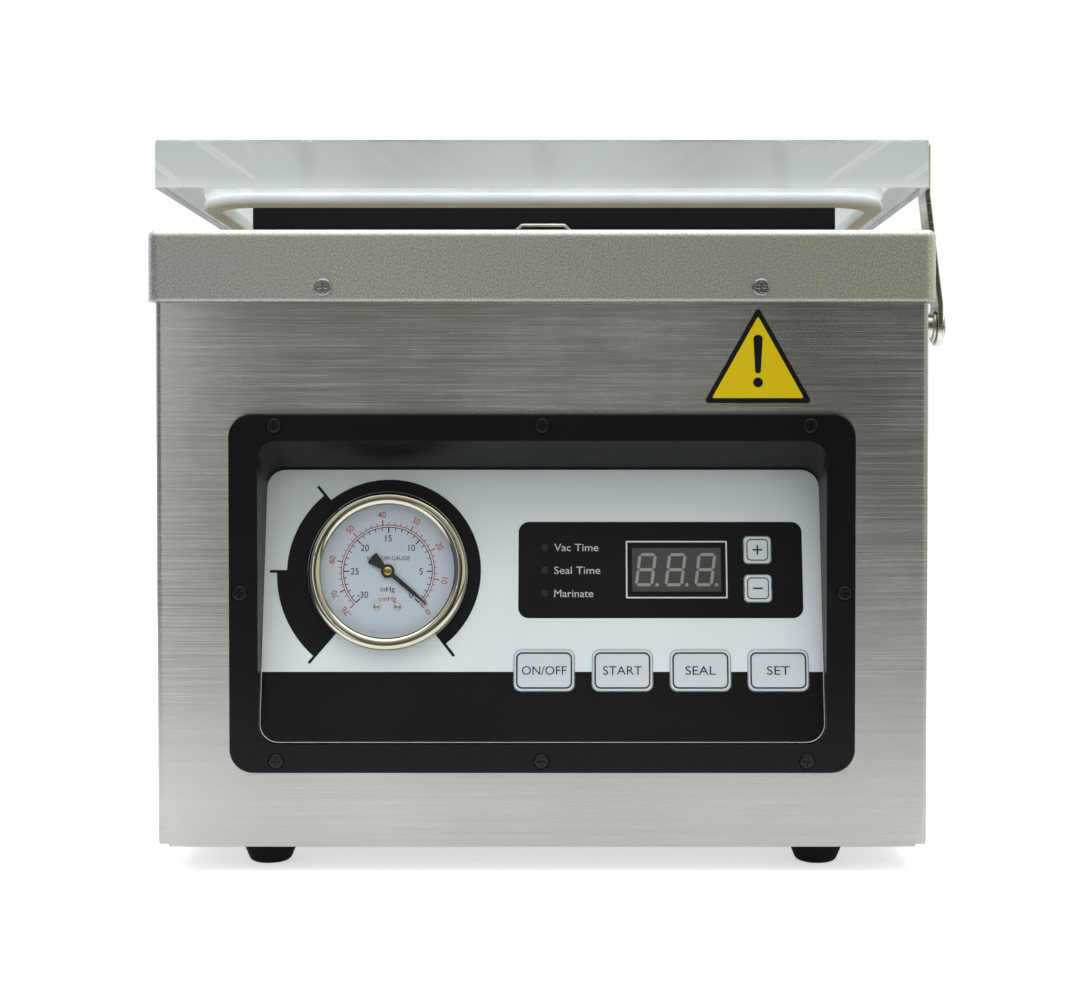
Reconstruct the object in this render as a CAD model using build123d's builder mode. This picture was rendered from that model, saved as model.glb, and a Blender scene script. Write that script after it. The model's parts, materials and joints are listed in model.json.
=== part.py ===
from build123d import *

import os
from math import cos, radians, sin

# Tabletop chamber vacuum sealer.  Millimetres, +Z up, front of the machine towards -Y,
# origin on the surface it stands on, under the middle of the rim.

# --- driving dimensions --------------------------------------------------------------
WIDTH = 330.0  # rim, side to side
DEPTH = 480.0  # rim, front to back
RIM_TOP = 270.0  # chamber deck above the table
RIM_DROP = 30.0  # height of the rim's skirt
RIM_T = 2.0  # pressed steel of the chamber pan and rim
RIM_CORNER = 5.0
FOOT_H = 12.5  # rubber foot, table to base plate
BODY_W = 324.0
BODY_D = 475.0
BODY_Z0 = 11.0  # lower edge of the housing sheet
SHEET = 1.5  # housing sheet
FLANGE_IN = 9.0  # return flange along the housing's lower edge
DECK_UNDER = RIM_TOP - RIM_T

CHAMBER_X = 141.0  # half width inside
CHAMBER_FRONT = -215.0
CHAMBER_BACK = 170.0
CHAMBER_FLOOR = 196.0
CHAMBER_CORNER = 25.0
FLOOR_FILLET = 12.0
CHAMBER_LEN = CHAMBER_BACK - CHAMBER_FRONT
CHAMBER_MID = (CHAMBER_BACK + CHAMBER_FRONT) / 2
FLOOR_UNDER = CHAMBER_FLOOR - RIM_T

HINGE_Y = 226.0
HINGE_Z = 290.0
HINGE_X = 88.0  # centre of each hinge, either side of the middle
PIN_R = 4.0
RUN_CLEAR = 0.06  # radial running clearance of a shaft in its bore
AJAR = 1.45  # degrees that the lid stands open at rest
LID_W = 324.0
LID_T = 20.0
LID_FRONT = -463.0  # from the hinge axis, along the lid
LID_BACK = -8.6
GASKET_H = 5.5
GASKET_W = 8.0
GASKET_X = 149.4  # half width outside
GASKET_R = 29.0
LID_GAP = 0.3  # between gasket and deck with the lid down
LID_UNDER = RIM_TOP + LID_GAP + GASKET_H - HINGE_Z
LID_UPPER = LID_UNDER + LID_T

BAR_LEN = 260.0
BAR_Y = -175.0
BAR_W = 20.0
BAR_TOP = 248.0
BAR_H = 20.0
LIFT = 11.0  # stroke of the seal bar
ROD_X = 112.0
ROD_R = 4.0
PAD_W = 24.0
PAD_H = 14.0
STRIP_W = 14.0

BEZEL_W = 262.3
BEZEL_H = 150.7
BEZEL_Z = 117.8  # centre height of the bezel
BEZEL_FACE = -240.0
POCKET_W = 238.0
POCKET_Z0 = 54.4
POCKET_Z1 = 181.7
POCKET_R = 8.0
PANEL_TILT = 11.5
PANEL_Y = -238.0  # lower edge of the control panel
PANEL_Z = 54.9
PANEL_H = 116.3
PANEL_T = 2.0
GAUGE_AT = (-66.1, 72.2)
GAUGE_R = 33.9
GAUGE_HOLE = 30.3
DIAL_R = 28.9
KEY_ROW = 30.15
KEY_XS = {"key_on_off": 0.7, "key_start": 33.8, "key_seal": 66.8, "key_set": 99.7}
KEY_SIZE = (25.4, 17.2)
SMALL_KEYS = {"key_plus": (91.8, 81.4), "key_minus": (91.8, 64.9)}
SMALL_KEY = (11.4, 11.4)
KEY_GAP = 0.2
KEY_PROUD = 0.8
DISPLAY_AT = (57.2, 73.0)
DISPLAY_SIZE = (38.1, 18.9)
LED_AT = [(0.9, 82.5), (0.9, 72.7), (0.9, 62.8)]
BOARD_BACK = 12.0  # board face behind the panel face
BOARD_T = 1.6

HOOK_Y = -213.0
HOOK_Z = 231.0
HOOK_T = 2.2
HOOK_W = 15.0
HOOK_LOW_X = 169.0  # inner face beside the pivot
HOOK_HIGH_X = 163.4  # inner face beside the lid
STUD_BACK = 420.0  # hook stud on the lid's side, in front of the hinge axis

PUMP_Y = 70.0
PUMP_Z = 88.0
PUMP_R = 46.0

os.makedirs("parts", exist_ok=True)

# --- working planes ------------------------------------------------------------------
tilt = radians(PANEL_TILT)
panel_plane = Plane(
    origin=(0, PANEL_Y, PANEL_Z), x_dir=(1, 0, 0), z_dir=(0, -cos(tilt), sin(tilt))
)
ajar = radians(AJAR)
lid_plane = Plane(
    origin=(0, HINGE_Y, HINGE_Z), x_dir=(1, 0, 0), z_dir=(0, sin(ajar), cos(ajar))
)


def facing_front(y):
    """Upright plane at depth y, seen from the front: x is the width, y the height."""
    return Plane(origin=(0, y, 0), x_dir=(1, 0, 0), z_dir=(0, -1, 0))


def facing_back(y):
    """Upright plane at depth y, seen from behind."""
    return Plane(origin=(0, y, 0), x_dir=(-1, 0, 0), z_dir=(0, 1, 0))


def facing_right(x):
    """Upright plane at width x, seen from the right: x is depth, y the height."""
    return Plane(origin=(x, 0, 0), x_dir=(0, 1, 0), z_dir=(1, 0, 0))


def facing_left(x):
    """Upright plane at width x, seen from the left."""
    return Plane(origin=(x, 0, 0), x_dir=(0, -1, 0), z_dir=(-1, 0, 0))


def spots(plane, points):
    """Locations on a plane, with their own z axis along its normal."""
    return [plane.location * Location((x, y, 0)) for x, y in points]


def save(name, *builders):
    """Write one finished piece, or a group of pieces kept as separate solids, as a node."""
    if len(builders) == 1:
        node = builders[0].part
    else:
        node = Compound(children=[builder.part for builder in builders])
    node.label = name
    export_step(node, f"parts/{name}.step")


# --- screws, each with its seat at z = 0 and its head above --------------------------
def pan_screw(head_r, head_h, shank_r, shank_len):
    """Pan-head cross-recess screw."""
    with BuildPart() as screw:
        with BuildSketch(Plane.XY):
            Circle(head_r)
        extrude(amount=head_h)
        fillet(screw.faces().sort_by(Axis.Z)[-1].edges(), head_h * 0.6)
        with BuildSketch(Plane.XY):
            Circle(shank_r)
        extrude(amount=-shank_len)
        with BuildSketch(Plane.XY.offset(head_h * 0.35)):
            Rectangle(head_r * 1.15, head_r * 0.24)
            Rectangle(head_r * 0.24, head_r * 1.15)
        extrude(amount=head_h, mode=Mode.SUBTRACT)
    return screw.part


def flat_screw(head_r, head_h, shank_r, shank_len):
    """Countersunk screw with its flat head below z = 0."""
    with BuildPart() as screw:
        with BuildSketch(Plane.XZ):
            Polygon(
                (0, 0), (head_r, 0), (shank_r, -head_h), (shank_r, -shank_len),
                (0, -shank_len), align=None,
            )
        revolve(axis=Axis.Z)
        with BuildSketch(Plane.XY.offset(-head_h * 0.7)):
            Rectangle(head_r * 1.15, head_r * 0.24)
            Rectangle(head_r * 0.24, head_r * 1.15)
        extrude(amount=head_h, mode=Mode.SUBTRACT)
    return screw.part


rim_screw = pan_screw(3.75, 1.7, 1.9, 8.0)
bezel_screw = pan_screw(3.1, 1.3, 1.45, 7.0)
hinge_screw = pan_screw(3.6, 2.0, 1.95, 9.0)
small_screw = pan_screw(2.6, 1.5, 1.25, 5.0)
foot_screw = pan_screw(3.5, 2.4, 1.95, 12.0)
pad_screw = flat_screw(4.0, 2.3, 1.95, 27.0)

# --- housing -------------------------------------------------------------------------
BODY_X = BODY_W / 2
BODY_Y = BODY_D / 2
BODY_TOP = DECK_UNDER
BODY_H = BODY_TOP - BODY_Z0
BEND_R = 2.5
SKIRT_SCREW_Z = RIM_TOP - 24.2
FRONT_SCREW_X = 91.2
SIDE_SCREW_Y = 90.0
FRONT_PAIR = [(x, SKIRT_SCREW_Z) for x in (-FRONT_SCREW_X, FRONT_SCREW_X)]
SIDE_PAIR = [(y, SKIRT_SCREW_Z) for y in (-SIDE_SCREW_Y, SIDE_SCREW_Y)]
NOTCH = (5.0, 1.8)
REAR_LIP = 10.0
REAR_SCREWS = [(x, z) for x in (-155.0, 155.0) for z in (40.0, 130.0, 220.0)]
LOUVRE_ZS = [60.0, 72.0, 84.0, 96.0]
LOUVRE_YS = [60.0, 130.0]
BEZEL_SCREWS = (
    [(x, BEZEL_Z + 70.4) for x in (-112.0, 0.0, 112.0)]
    + [(x, BEZEL_Z + 0.3) for x in (-126.5, 126.5)]
    + [(x, BEZEL_Z - 70.2) for x in (-111.5, -0.4, 111.0)]
)

with BuildPart() as housing_shell:
    with BuildSketch(Plane.XY.offset(BODY_Z0)):
        RectangleRounded(BODY_W, BODY_D, BEND_R)
        RectangleRounded(
            BODY_W - 2 * SHEET, BODY_D - 2 * SHEET, BEND_R - SHEET, mode=Mode.SUBTRACT
        )
    extrude(amount=BODY_H)
    # return flange along the lower edge
    with BuildSketch(Plane.XY.offset(BODY_Z0)):
        Rectangle(BODY_W - 2 * SHEET, BODY_D - 2 * SHEET)
        Rectangle(BODY_W - 2 * FLANGE_IN, BODY_D - 2 * FLANGE_IN, mode=Mode.SUBTRACT)
    extrude(amount=SHEET)
    # open back between two return lips
    with BuildSketch(facing_back(BODY_Y + 1)):
        with Locations((0, BODY_Z0 + BODY_H / 2 + SHEET)):
            Rectangle(BODY_W - 2 * SHEET - 2 * REAR_LIP, BODY_H + SHEET)
    extrude(amount=-(SHEET + 1), mode=Mode.SUBTRACT)
    # window behind the control panel
    with BuildSketch(facing_front(-BODY_Y - 1)):
        with Locations((0, (POCKET_Z0 + POCKET_Z1) / 2)):
            RectangleRounded(POCKET_W + 5.2, POCKET_Z1 - POCKET_Z0 + 5.2, POCKET_R + 2)
    extrude(amount=-(SHEET + 2), mode=Mode.SUBTRACT)
    # fold relief notches at the lower front corners
    with BuildSketch(facing_front(-BODY_Y - 1)):
        with Locations((-BODY_X, BODY_Z0), (BODY_X, BODY_Z0)):
            Rectangle(2 * NOTCH[0], 2 * NOTCH[1])
    extrude(amount=-(SHEET + 4), mode=Mode.SUBTRACT)
    # screw holes for the bezel, the rim and the hook
    with Locations(*spots(facing_front(-BODY_Y), BEZEL_SCREWS)):
        Hole(1.6, depth=SHEET + 1)
    with Locations(
        *spots(facing_front(-BODY_Y), FRONT_PAIR),
        *spots(facing_right(BODY_X), SIDE_PAIR),
        *spots(facing_left(-BODY_X), SIDE_PAIR),
    ):
        Hole(2.0, depth=SHEET + 1)
    with Locations(*spots(facing_right(BODY_X), [(HOOK_Y, HOOK_Z)])):
        Hole(2.55, depth=SHEET + 1)
    with Locations(*spots(facing_back(BODY_Y), REAR_SCREWS)):
        Hole(1.35, depth=SHEET)
    # cooling slots in both sides
    for side in (facing_right(BODY_X + 1), facing_left(-BODY_X - 1)):
        hand = side.z_dir.X
        with BuildSketch(side):
            with Locations(*[(hand * y, z) for y in LOUVRE_YS for z in LOUVRE_ZS]):
                SlotOverall(48.0, 4.5)
        extrude(amount=-(SHEET + 2), mode=Mode.SUBTRACT)
save("housing_shell", housing_shell)

PANEL_BACK_Y = BODY_Y - SHEET
INLET_AT = (-105.0, 52.0)
with BuildPart() as rear_panel:
    with BuildSketch(facing_back(PANEL_BACK_Y)):
        with Locations((0, (BODY_Z0 + SHEET + RIM_TOP - RIM_DROP + 14) / 2)):
            Rectangle(
                BODY_W - 2 * SHEET - 3.0, RIM_TOP - RIM_DROP + 14 - BODY_Z0 - SHEET - 4.0
            )
    extrude(amount=-SHEET)
    with BuildSketch(facing_back(PANEL_BACK_Y)):
        with Locations(*[(40.0, 100.0 + 11.0 * i) for i in range(9)]):
            SlotOverall(120.0, 5.0)
        with Locations(INLET_AT):
            Rectangle(47.4, 27.4)
    extrude(amount=-SHEET, mode=Mode.SUBTRACT)
    with Locations(*spots(facing_back(PANEL_BACK_Y), REAR_SCREWS)):
        Hole(1.35, depth=SHEET)
    with Locations(*spots(facing_back(PANEL_BACK_Y), FRONT_PAIR)):
        Hole(2.0, depth=SHEET)
save("rear_panel", rear_panel)

with BuildPart() as rear_screws:
    with Locations(*spots(facing_back(BODY_Y), REAR_SCREWS)):
        add(small_screw)

FOOT_AT = [(x, y) for x in (-118.0, 118.0) for y in (-215.0, 205.0)]
BASE_T = 2.0
with BuildPart() as base_plate:
    with BuildSketch(Plane.XY.offset(FOOT_H)):
        Rectangle(BODY_W - 2 * SHEET - 1.0, BODY_D - 4 * SHEET - 2.0)
        with Locations(*FOOT_AT):
            Circle(2.05, mode=Mode.SUBTRACT)
        with GridLocations(16.0, 60.0, 12, 3):
            SlotOverall(44.0, 5.0, rotation=90, mode=Mode.SUBTRACT)
    extrude(amount=BASE_T)
save("base_plate", base_plate)

with BuildPart() as foot:
    with BuildSketch(Plane.XZ):
        with BuildLine():
            Polyline(
                (9.2, 1.6), (11.8, 8.0), (12.0, FOOT_H), (2.1, FOOT_H), (2.1, 8.0), (4.2, 8.0), (4.2, 0),
            )
            Line((4.2, 0), (7.0, 0))
            RadiusArc((7.0, 0), (9.2, 1.6), -2.6)
        make_face()
    revolve(axis=Axis.Z)
with BuildPart() as rubber_feet:
    with Locations(*FOOT_AT):
        add(foot.part)
save("rubber_feet", rubber_feet)

# foot screws come up from inside each foot and hold it with a nut on the base plate
with BuildPart() as foot_nut:
    with BuildSketch(Plane.XY.offset(FOOT_H + BASE_T)):
        RegularPolygon(4.0, 6)
        Circle(1.95, mode=Mode.SUBTRACT)
    extrude(amount=3.2)
with BuildPart() as foot_screws:
    with Locations(*[Location((x, y, 8.0), (180, 0, 0)) for x, y in FOOT_AT]):
        add(foot_screw)
with BuildPart() as foot_nuts:
    with Locations(*FOOT_AT):
        add(foot_nut.part)

# --- chamber pan, deck and skirt, pressed from one sheet -----------------------------
PORT_Z = 238.0
PORT_R = 9.0
BUSH_R = 7.0
SWITCH_AT = (-155.4, 60.0)
DECK_R = 3.0
CLIP_Z = 257.0
HINGE_SCREWS = [(side * HINGE_X + dx, 214.0) for side in (-1, 1) for dx in (-14.0, 14.0)]
RIM_SCREWS = (
    spots(facing_front(-DEPTH / 2), FRONT_PAIR)
    + spots(facing_back(DEPTH / 2), FRONT_PAIR)
    + spots(facing_right(WIDTH / 2), SIDE_PAIR)
    + spots(facing_left(-WIDTH / 2), SIDE_PAIR)
)

with BuildPart() as chamber_tub:
    with BuildSketch(Plane.XY.offset(RIM_TOP - RIM_DROP)):
        RectangleRounded(WIDTH, DEPTH, RIM_CORNER)
    extrude(amount=RIM_DROP)
    fillet(chamber_tub.faces().sort_by(Axis.Z)[-1].edges(), DECK_R)
    with BuildSketch(Plane.XY.offset(RIM_TOP - RIM_DROP)):
        RectangleRounded(WIDTH - 2 * RIM_T, DEPTH - 2 * RIM_T, RIM_CORNER - RIM_T)
    extrude(amount=RIM_DROP - RIM_T, mode=Mode.SUBTRACT)
    with BuildSketch(Plane.XY.offset(FLOOR_UNDER)):
        with Locations((0, CHAMBER_MID)):
            RectangleRounded(
                2 * (CHAMBER_X + RIM_T), CHAMBER_LEN + 2 * RIM_T, CHAMBER_CORNER + RIM_T
            )
    extrude(amount=DECK_UNDER - FLOOR_UNDER)
    fillet(chamber_tub.faces().sort_by(Axis.Z)[0].edges(), FLOOR_FILLET + RIM_T)
with BuildPart() as chamber_space:
    with BuildSketch(Plane.XY.offset(CHAMBER_FLOOR)):
        with Locations((0, CHAMBER_MID)):
            RectangleRounded(2 * CHAMBER_X, CHAMBER_LEN, CHAMBER_CORNER)
    extrude(amount=RIM_TOP - CHAMBER_FLOOR)
    fillet(chamber_space.faces().sort_by(Axis.Z)[0].edges(), FLOOR_FILLET)
with chamber_tub:
    add(chamber_space.part, mode=Mode.SUBTRACT)
    opening_edges = (
        chamber_tub.faces().sort_by(Axis.Z)[-1].inner_wires()[0].edges()
    )
    fillet(opening_edges, 1.4)
    with Locations(*[(x, BAR_Y, CHAMBER_FLOOR) for x in (-ROD_X, ROD_X)]):
        Hole(BUSH_R, depth=RIM_T + 1)
    with Locations(*spots(facing_front(CHAMBER_BACK), [(0, PORT_Z)])):
        Hole(PORT_R, depth=RIM_T + 1)
    with Locations(*[(x, y, RIM_TOP) for x, y in HINGE_SCREWS]):
        Hole(2.0, depth=RIM_T + 1)
    with Locations((SWITCH_AT[0], SWITCH_AT[1], RIM_TOP)):
        Hole(2.1, depth=RIM_T + 1)
    with Locations(*RIM_SCREWS):
        Hole(2.0, depth=RIM_T + 0.5)
save("chamber_tub", chamber_tub)

with BuildPart() as rim_screws:
    with Locations(*RIM_SCREWS):
        add(rim_screw)

# --- inside the chamber --------------------------------------------------------------
FILLER = (250.0, 285.0, 10.0)
FILLER_Y = 8.0
FILLER_CORNER = 16.0
FINGER_R = 12.0


def filler_plate(level):
    """White plate with a finger hole that takes up room under a low product."""
    with BuildPart() as filler:
        with BuildSketch(Plane.XY.offset(CHAMBER_FLOOR + level * FILLER[2])):
            with Locations((0, FILLER_Y)):
                RectangleRounded(FILLER[0], FILLER[1], FILLER_CORNER)
                Circle(FINGER_R, mode=Mode.SUBTRACT)
        extrude(amount=FILLER[2])
        chamfer(filler.faces().sort_by(Axis.Z)[-1].outer_wire().edges(), 1.0)
    return filler


save("filler_plates", filler_plate(0), filler_plate(1))

# suction port through the chamber's rear wall: inner strainer cap, neck and hose barb
STRAINER_R = 14.0
with BuildPart() as vacuum_port:
    with BuildSketch(facing_front(CHAMBER_BACK)):
        with Locations((0, PORT_Z)):
            Circle(STRAINER_R)
    extrude(amount=4.0)
    fillet(vacuum_port.faces().sort_by(Axis.Y)[0].edges(), 1.5)
    with BuildSketch(facing_back(CHAMBER_BACK)):
        with Locations((0, PORT_Z)):
            Circle(PORT_R)
    extrude(amount=RIM_T)
    with BuildSketch(facing_back(CHAMBER_BACK + RIM_T)):
        with Locations((0, PORT_Z)):
            RegularPolygon(12.0, 6)
    extrude(amount=6.0)
    with BuildSketch(facing_back(CHAMBER_BACK + RIM_T + 6.0)):
        with Locations((0, PORT_Z)):
            Circle(6.0)
    extrude(amount=16.0)
    with BuildSketch(facing_front(CHAMBER_BACK - 5.0)):
        with Locations((0, PORT_Z)):
            with PolarLocations(8.0, 8):
                Circle(1.6)
            Circle(1.6)
    extrude(amount=-12.0, mode=Mode.SUBTRACT)
    with BuildSketch(facing_back(CHAMBER_BACK + 5.0)):
        with Locations((0, PORT_Z)):
            Circle(4.0)
    extrude(amount=30.0, mode=Mode.SUBTRACT)
save("vacuum_port", vacuum_port)

# bushes that seal the lift rods where they pass the chamber floor
with BuildPart() as rod_bushes:
    for x in (-ROD_X, ROD_X):
        with BuildSketch(Plane.XY.offset(CHAMBER_FLOOR)):
            with Locations((x, BAR_Y)):
                Circle(11.0)
                Circle(ROD_R + RUN_CLEAR, mode=Mode.SUBTRACT)
        extrude(amount=3.0)
        with BuildSketch(Plane.XY.offset(FLOOR_UNDER)):
            with Locations((x, BAR_Y)):
                Circle(BUSH_R)
                Circle(ROD_R + RUN_CLEAR, mode=Mode.SUBTRACT)
        extrude(amount=RIM_T)

# --- seal bar on its two lift rods ---------------------------------------------------
BAR_Z = BAR_TOP - BAR_H
CYL_R = 19.0
CYL_BORE = 16.0
PISTON_H = 7.0
CYL_Z0 = FLOOR_UNDER - PISTON_H - LIFT - 30.0
PISTON_Z = CYL_Z0 + 6.0
with BuildPart() as seal_bar:
    with BuildSketch(facing_right(-BAR_LEN / 2)):
        with Locations((BAR_Y, BAR_Z + BAR_H / 2 - 1.0)):
            Rectangle(BAR_W, BAR_H - 2.0)
        with Locations((BAR_Y, BAR_TOP - 3.4)):
            Rectangle(14.0, 3.0, mode=Mode.SUBTRACT)
        with Locations((BAR_Y - BAR_W / 2, BAR_Z + 8.0), (BAR_Y + BAR_W / 2, BAR_Z + 8.0)):
            Rectangle(5.0, 4.0, mode=Mode.SUBTRACT)
    extrude(amount=BAR_LEN)
    chamfer(seal_bar.edges().filter_by(Axis.X).group_by(Axis.Z)[0], 1.0)
save("seal_bar", seal_bar)

with BuildPart() as seal_insulator:
    with BuildSketch(Plane.XY.offset(BAR_TOP - 4.9)):
        with Locations((0, BAR_Y)):
            Rectangle(BAR_LEN - 4.0, 13.8)
    extrude(amount=4.0)

WIRE_HALF = 2.5
with BuildPart() as heating_wires:
    with BuildSketch(Plane.XY.offset(BAR_TOP - 0.9)):
        with Locations((0, BAR_Y - 4.0), (0, BAR_Y + 4.0)):
            Rectangle(BAR_LEN - 6.0, WIRE_HALF)
    extrude(amount=0.5)
save("heating_element", heating_wires, seal_insulator)

# woven non-stick tape over the wires and down both flanks of the bar
TAPE_T = 0.3
with BuildPart() as seal_tape:
    with BuildSketch(facing_right(-BAR_LEN / 2 + 9.0)):
        with Locations((BAR_Y, BAR_TOP - TAPE_T / 2 - 0.1)):
            Rectangle(BAR_W + 2 * TAPE_T, TAPE_T)
        with Locations(
            (BAR_Y - BAR_W / 2 - TAPE_T / 2, BAR_TOP - 4.1),
            (BAR_Y + BAR_W / 2 + TAPE_T / 2, BAR_TOP - 4.1),
        ):
            Rectangle(TAPE_T, 8.0)
    extrude(amount=BAR_LEN - 18.0)
save("seal_tape", seal_tape)

TERMINAL_X = BAR_LEN / 2 + 4.0
TERMINAL_SCREWS = [
    (side * TERMINAL_X, BAR_Y + dy, BAR_TOP - 4.0) for side in (-1, 1) for dy in (-4.0, 4.0)
]
with BuildPart() as wire_terminals:
    for side in (-1, 1):
        with BuildSketch(facing_right(side * TERMINAL_X - 4.0)):
            with Locations((BAR_Y, BAR_TOP - 9.0)):
                Rectangle(16.0, 10.0)
        extrude(amount=8.0)
    with Locations(*TERMINAL_SCREWS):
        Hole(1.3, depth=6.0)
with BuildPart() as terminal_screws:
    with Locations(*TERMINAL_SCREWS):
        add(small_screw)
save("wire_terminals", wire_terminals, terminal_screws)

with BuildPart() as lift_rods:
    for x in (-ROD_X, ROD_X):
        with BuildSketch(Plane.XY.offset(PISTON_Z + PISTON_H)):
            with Locations((x, BAR_Y)):
                Circle(ROD_R)
        extrude(amount=BAR_Z - PISTON_Z - PISTON_H)
        with BuildSketch(Plane.XY.offset(PISTON_Z)):
            with Locations((x, BAR_Y)):
                Circle(CYL_BORE - RUN_CLEAR)
        extrude(amount=PISTON_H)
save("lift_rods", lift_rods)

with BuildPart() as lift_cylinders:
    for x in (-ROD_X, ROD_X):
        with BuildSketch(Plane.XY.offset(CYL_Z0)):
            with Locations((x, BAR_Y)):
                Circle(CYL_R)
        extrude(amount=FLOOR_UNDER - CYL_Z0)
        with BuildSketch(Plane.XY.offset(CYL_Z0 + 4.0)):
            with Locations((x, BAR_Y)):
                Circle(CYL_BORE)
        extrude(amount=FLOOR_UNDER - CYL_Z0 - 9.0, mode=Mode.SUBTRACT)
        with BuildSketch(Plane.XY.offset(FLOOR_UNDER - 6.0)):
            with Locations((x, BAR_Y)):
                Circle(ROD_R + RUN_CLEAR)
        extrude(amount=6.0, mode=Mode.SUBTRACT)
        with BuildSketch(Plane.XY.offset(CYL_Z0 - 8.0)):
            with Locations((x, BAR_Y)):
                Circle(4.0)
        extrude(amount=8.0)
        with BuildSketch(Plane.XY.offset(CYL_Z0 - 8.0)):
            with Locations((x, BAR_Y)):
                Circle(2.0)
        extrude(amount=14.0, mode=Mode.SUBTRACT)
save("lift_cylinders", lift_cylinders, rod_bushes)

# --- bag clip: a sprung wire loop in a barrel on the chamber's front wall ------------
CLIP_Y = CHAMBER_FRONT + 4.0
CLIP_WIRE = 0.6
CLIP_TOP = 275.2 - CLIP_WIRE
BARREL_R = 2.4
BARREL_HALF = 10.0
with BuildPart() as clip_bracket:
    with BuildSketch(facing_right(-BARREL_HALF)):
        with Locations((CLIP_Y, CLIP_Z)):
            Circle(BARREL_R)
        with Locations((CHAMBER_FRONT + 0.75, CLIP_Z - 8.0)):
            Rectangle(1.5, 20.0)
        with Locations((CHAMBER_FRONT + 1.5, CLIP_Z)):
            Rectangle(3.0, 3.0)
        with Locations((CLIP_Y, CLIP_Z)):
            Circle(CLIP_WIRE + RUN_CLEAR, mode=Mode.SUBTRACT)
    extrude(amount=2 * BARREL_HALF)
    with Locations(*spots(facing_back(CHAMBER_FRONT + 1.5), [(x, CLIP_Z - 12.0) for x in (-6.0, 6.0)])):
        Hole(1.35, depth=1.5)
save("clip_bracket", clip_bracket)

with BuildPart() as bag_clip:
    with BuildLine(facing_front(CLIP_Y)):
        FilletPolyline(
            (0.4, CLIP_Z), (12.6, CLIP_Z), (12.6, CLIP_TOP - 3.2), (9.2, CLIP_TOP),
            (-9.2, CLIP_TOP), (-12.6, CLIP_TOP - 3.2), (-12.6, CLIP_Z), (-0.4, CLIP_Z), radius=1.3,
        )
    with BuildSketch(facing_right(0.4)):
        with Locations((CLIP_Y, CLIP_Z)):
            Circle(CLIP_WIRE)
    sweep()
save("bag_clip", bag_clip)

# --- lid, hinged at the back ---------------------------------------------------------
LID_LEN = LID_BACK - LID_FRONT
LID_MID = (LID_BACK + LID_FRONT) / 2
GASKET_FRONT = LID_FRONT + 12.6
GASKET_BACK = CHAMBER_BACK + 8.4 - HINGE_Y
PAD_AT = BAR_Y - HINGE_Y
PAD_SCREW_XS = (-105.0, 0.0, 105.0)
LEAF_HALF = 14.8
LEAF_LEN = 58.0
LEAF_T = 3.0
LEAF_R = 8.0
LEAF_SCREWS = [
    (side * HINGE_X + dx, y) for side in (-1, 1) for dx in (-8.0, 8.0) for y in (-47.0, -24.0)
]

with BuildPart() as lid:
    with BuildSketch(lid_plane.offset(LID_UNDER)):
        with Locations((0, LID_MID)):
            RectangleRounded(LID_W, LID_LEN, 1.6)
    extrude(amount=LID_T)
    chamfer(lid.faces().sort_by(Axis.Z)[-1].edges(), 0.7)
    with Locations(*spots(lid_plane.offset(LID_UPPER), [(x, PAD_AT) for x in PAD_SCREW_XS])):
        CounterSinkHole(2.1, 4.3, depth=LID_T, counter_sink_angle=82)
    with Locations(*spots(lid_plane.offset(LID_UPPER), LEAF_SCREWS)):
        Hole(2.0, depth=11.0)
save("lid", lid)

with BuildPart() as lid_gasket:
    with BuildSketch(lid_plane.offset(LID_UNDER)):
        with Locations((0, (GASKET_FRONT + GASKET_BACK) / 2)):
            RectangleRounded(2 * GASKET_X, GASKET_BACK - GASKET_FRONT, GASKET_R)
            RectangleRounded(
                2 * (GASKET_X - GASKET_W), GASKET_BACK - GASKET_FRONT - 2 * GASKET_W,
                GASKET_R - GASKET_W, mode=Mode.SUBTRACT,
            )
    extrude(amount=-GASKET_H)
    fillet(lid_gasket.faces().sort_by(Axis.Z)[0].edges(), 2.6)
save("lid_gasket", lid_gasket)

with BuildPart() as seal_pad_bar:
    with BuildSketch(lid_plane.offset(LID_UNDER)):
        with Locations((0, PAD_AT)):
            Rectangle(BAR_LEN, PAD_W)
    extrude(amount=-PAD_H)
    with BuildSketch(lid_plane.offset(LID_UNDER - PAD_H)):
        with Locations((0, PAD_AT)):
            Rectangle(BAR_LEN, STRIP_W)
    extrude(amount=3.0, mode=Mode.SUBTRACT)
    with Locations(*spots(lid_plane.offset(LID_UNDER), [(x, PAD_AT) for x in PAD_SCREW_XS])):
        Hole(2.0, depth=9.0)
save("seal_pad_bar", seal_pad_bar)

with BuildPart() as seal_strip:
    with BuildSketch(lid_plane.offset(LID_UNDER - PAD_H + 3.0)):
        with Locations((0, PAD_AT)):
            Rectangle(BAR_LEN, STRIP_W)
    extrude(amount=-5.6)
    fillet(seal_strip.faces().sort_by(Axis.Z)[0].edges().filter_by(Axis.X), 1.0)
save("seal_strip", seal_strip)

with BuildPart() as pad_screws:
    with Locations(*spots(lid_plane.offset(LID_UPPER), [(x, PAD_AT) for x in PAD_SCREW_XS])):
        add(pad_screw)

with BuildPart() as hinge_leaves:
    for side in (-1, 1):
        with BuildSketch(facing_right(side * HINGE_X - LEAF_HALF)):
            with Locations((HINGE_Y, HINGE_Z)):
                with Locations(Location((0, 0), -AJAR)):
                    Circle(LEAF_R)
                    with Locations((-LEAF_LEN / 2, LID_UPPER + LEAF_T / 2)):
                        Rectangle(LEAF_LEN, LEAF_T)
                    Circle(PIN_R + RUN_CLEAR, mode=Mode.SUBTRACT)
        extrude(amount=2 * LEAF_HALF)
    with Locations(*spots(lid_plane.offset(LID_UPPER + LEAF_T), LEAF_SCREWS)):
        Hole(2.0, depth=LEAF_T)
save("hinge_leaves", hinge_leaves)

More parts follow.
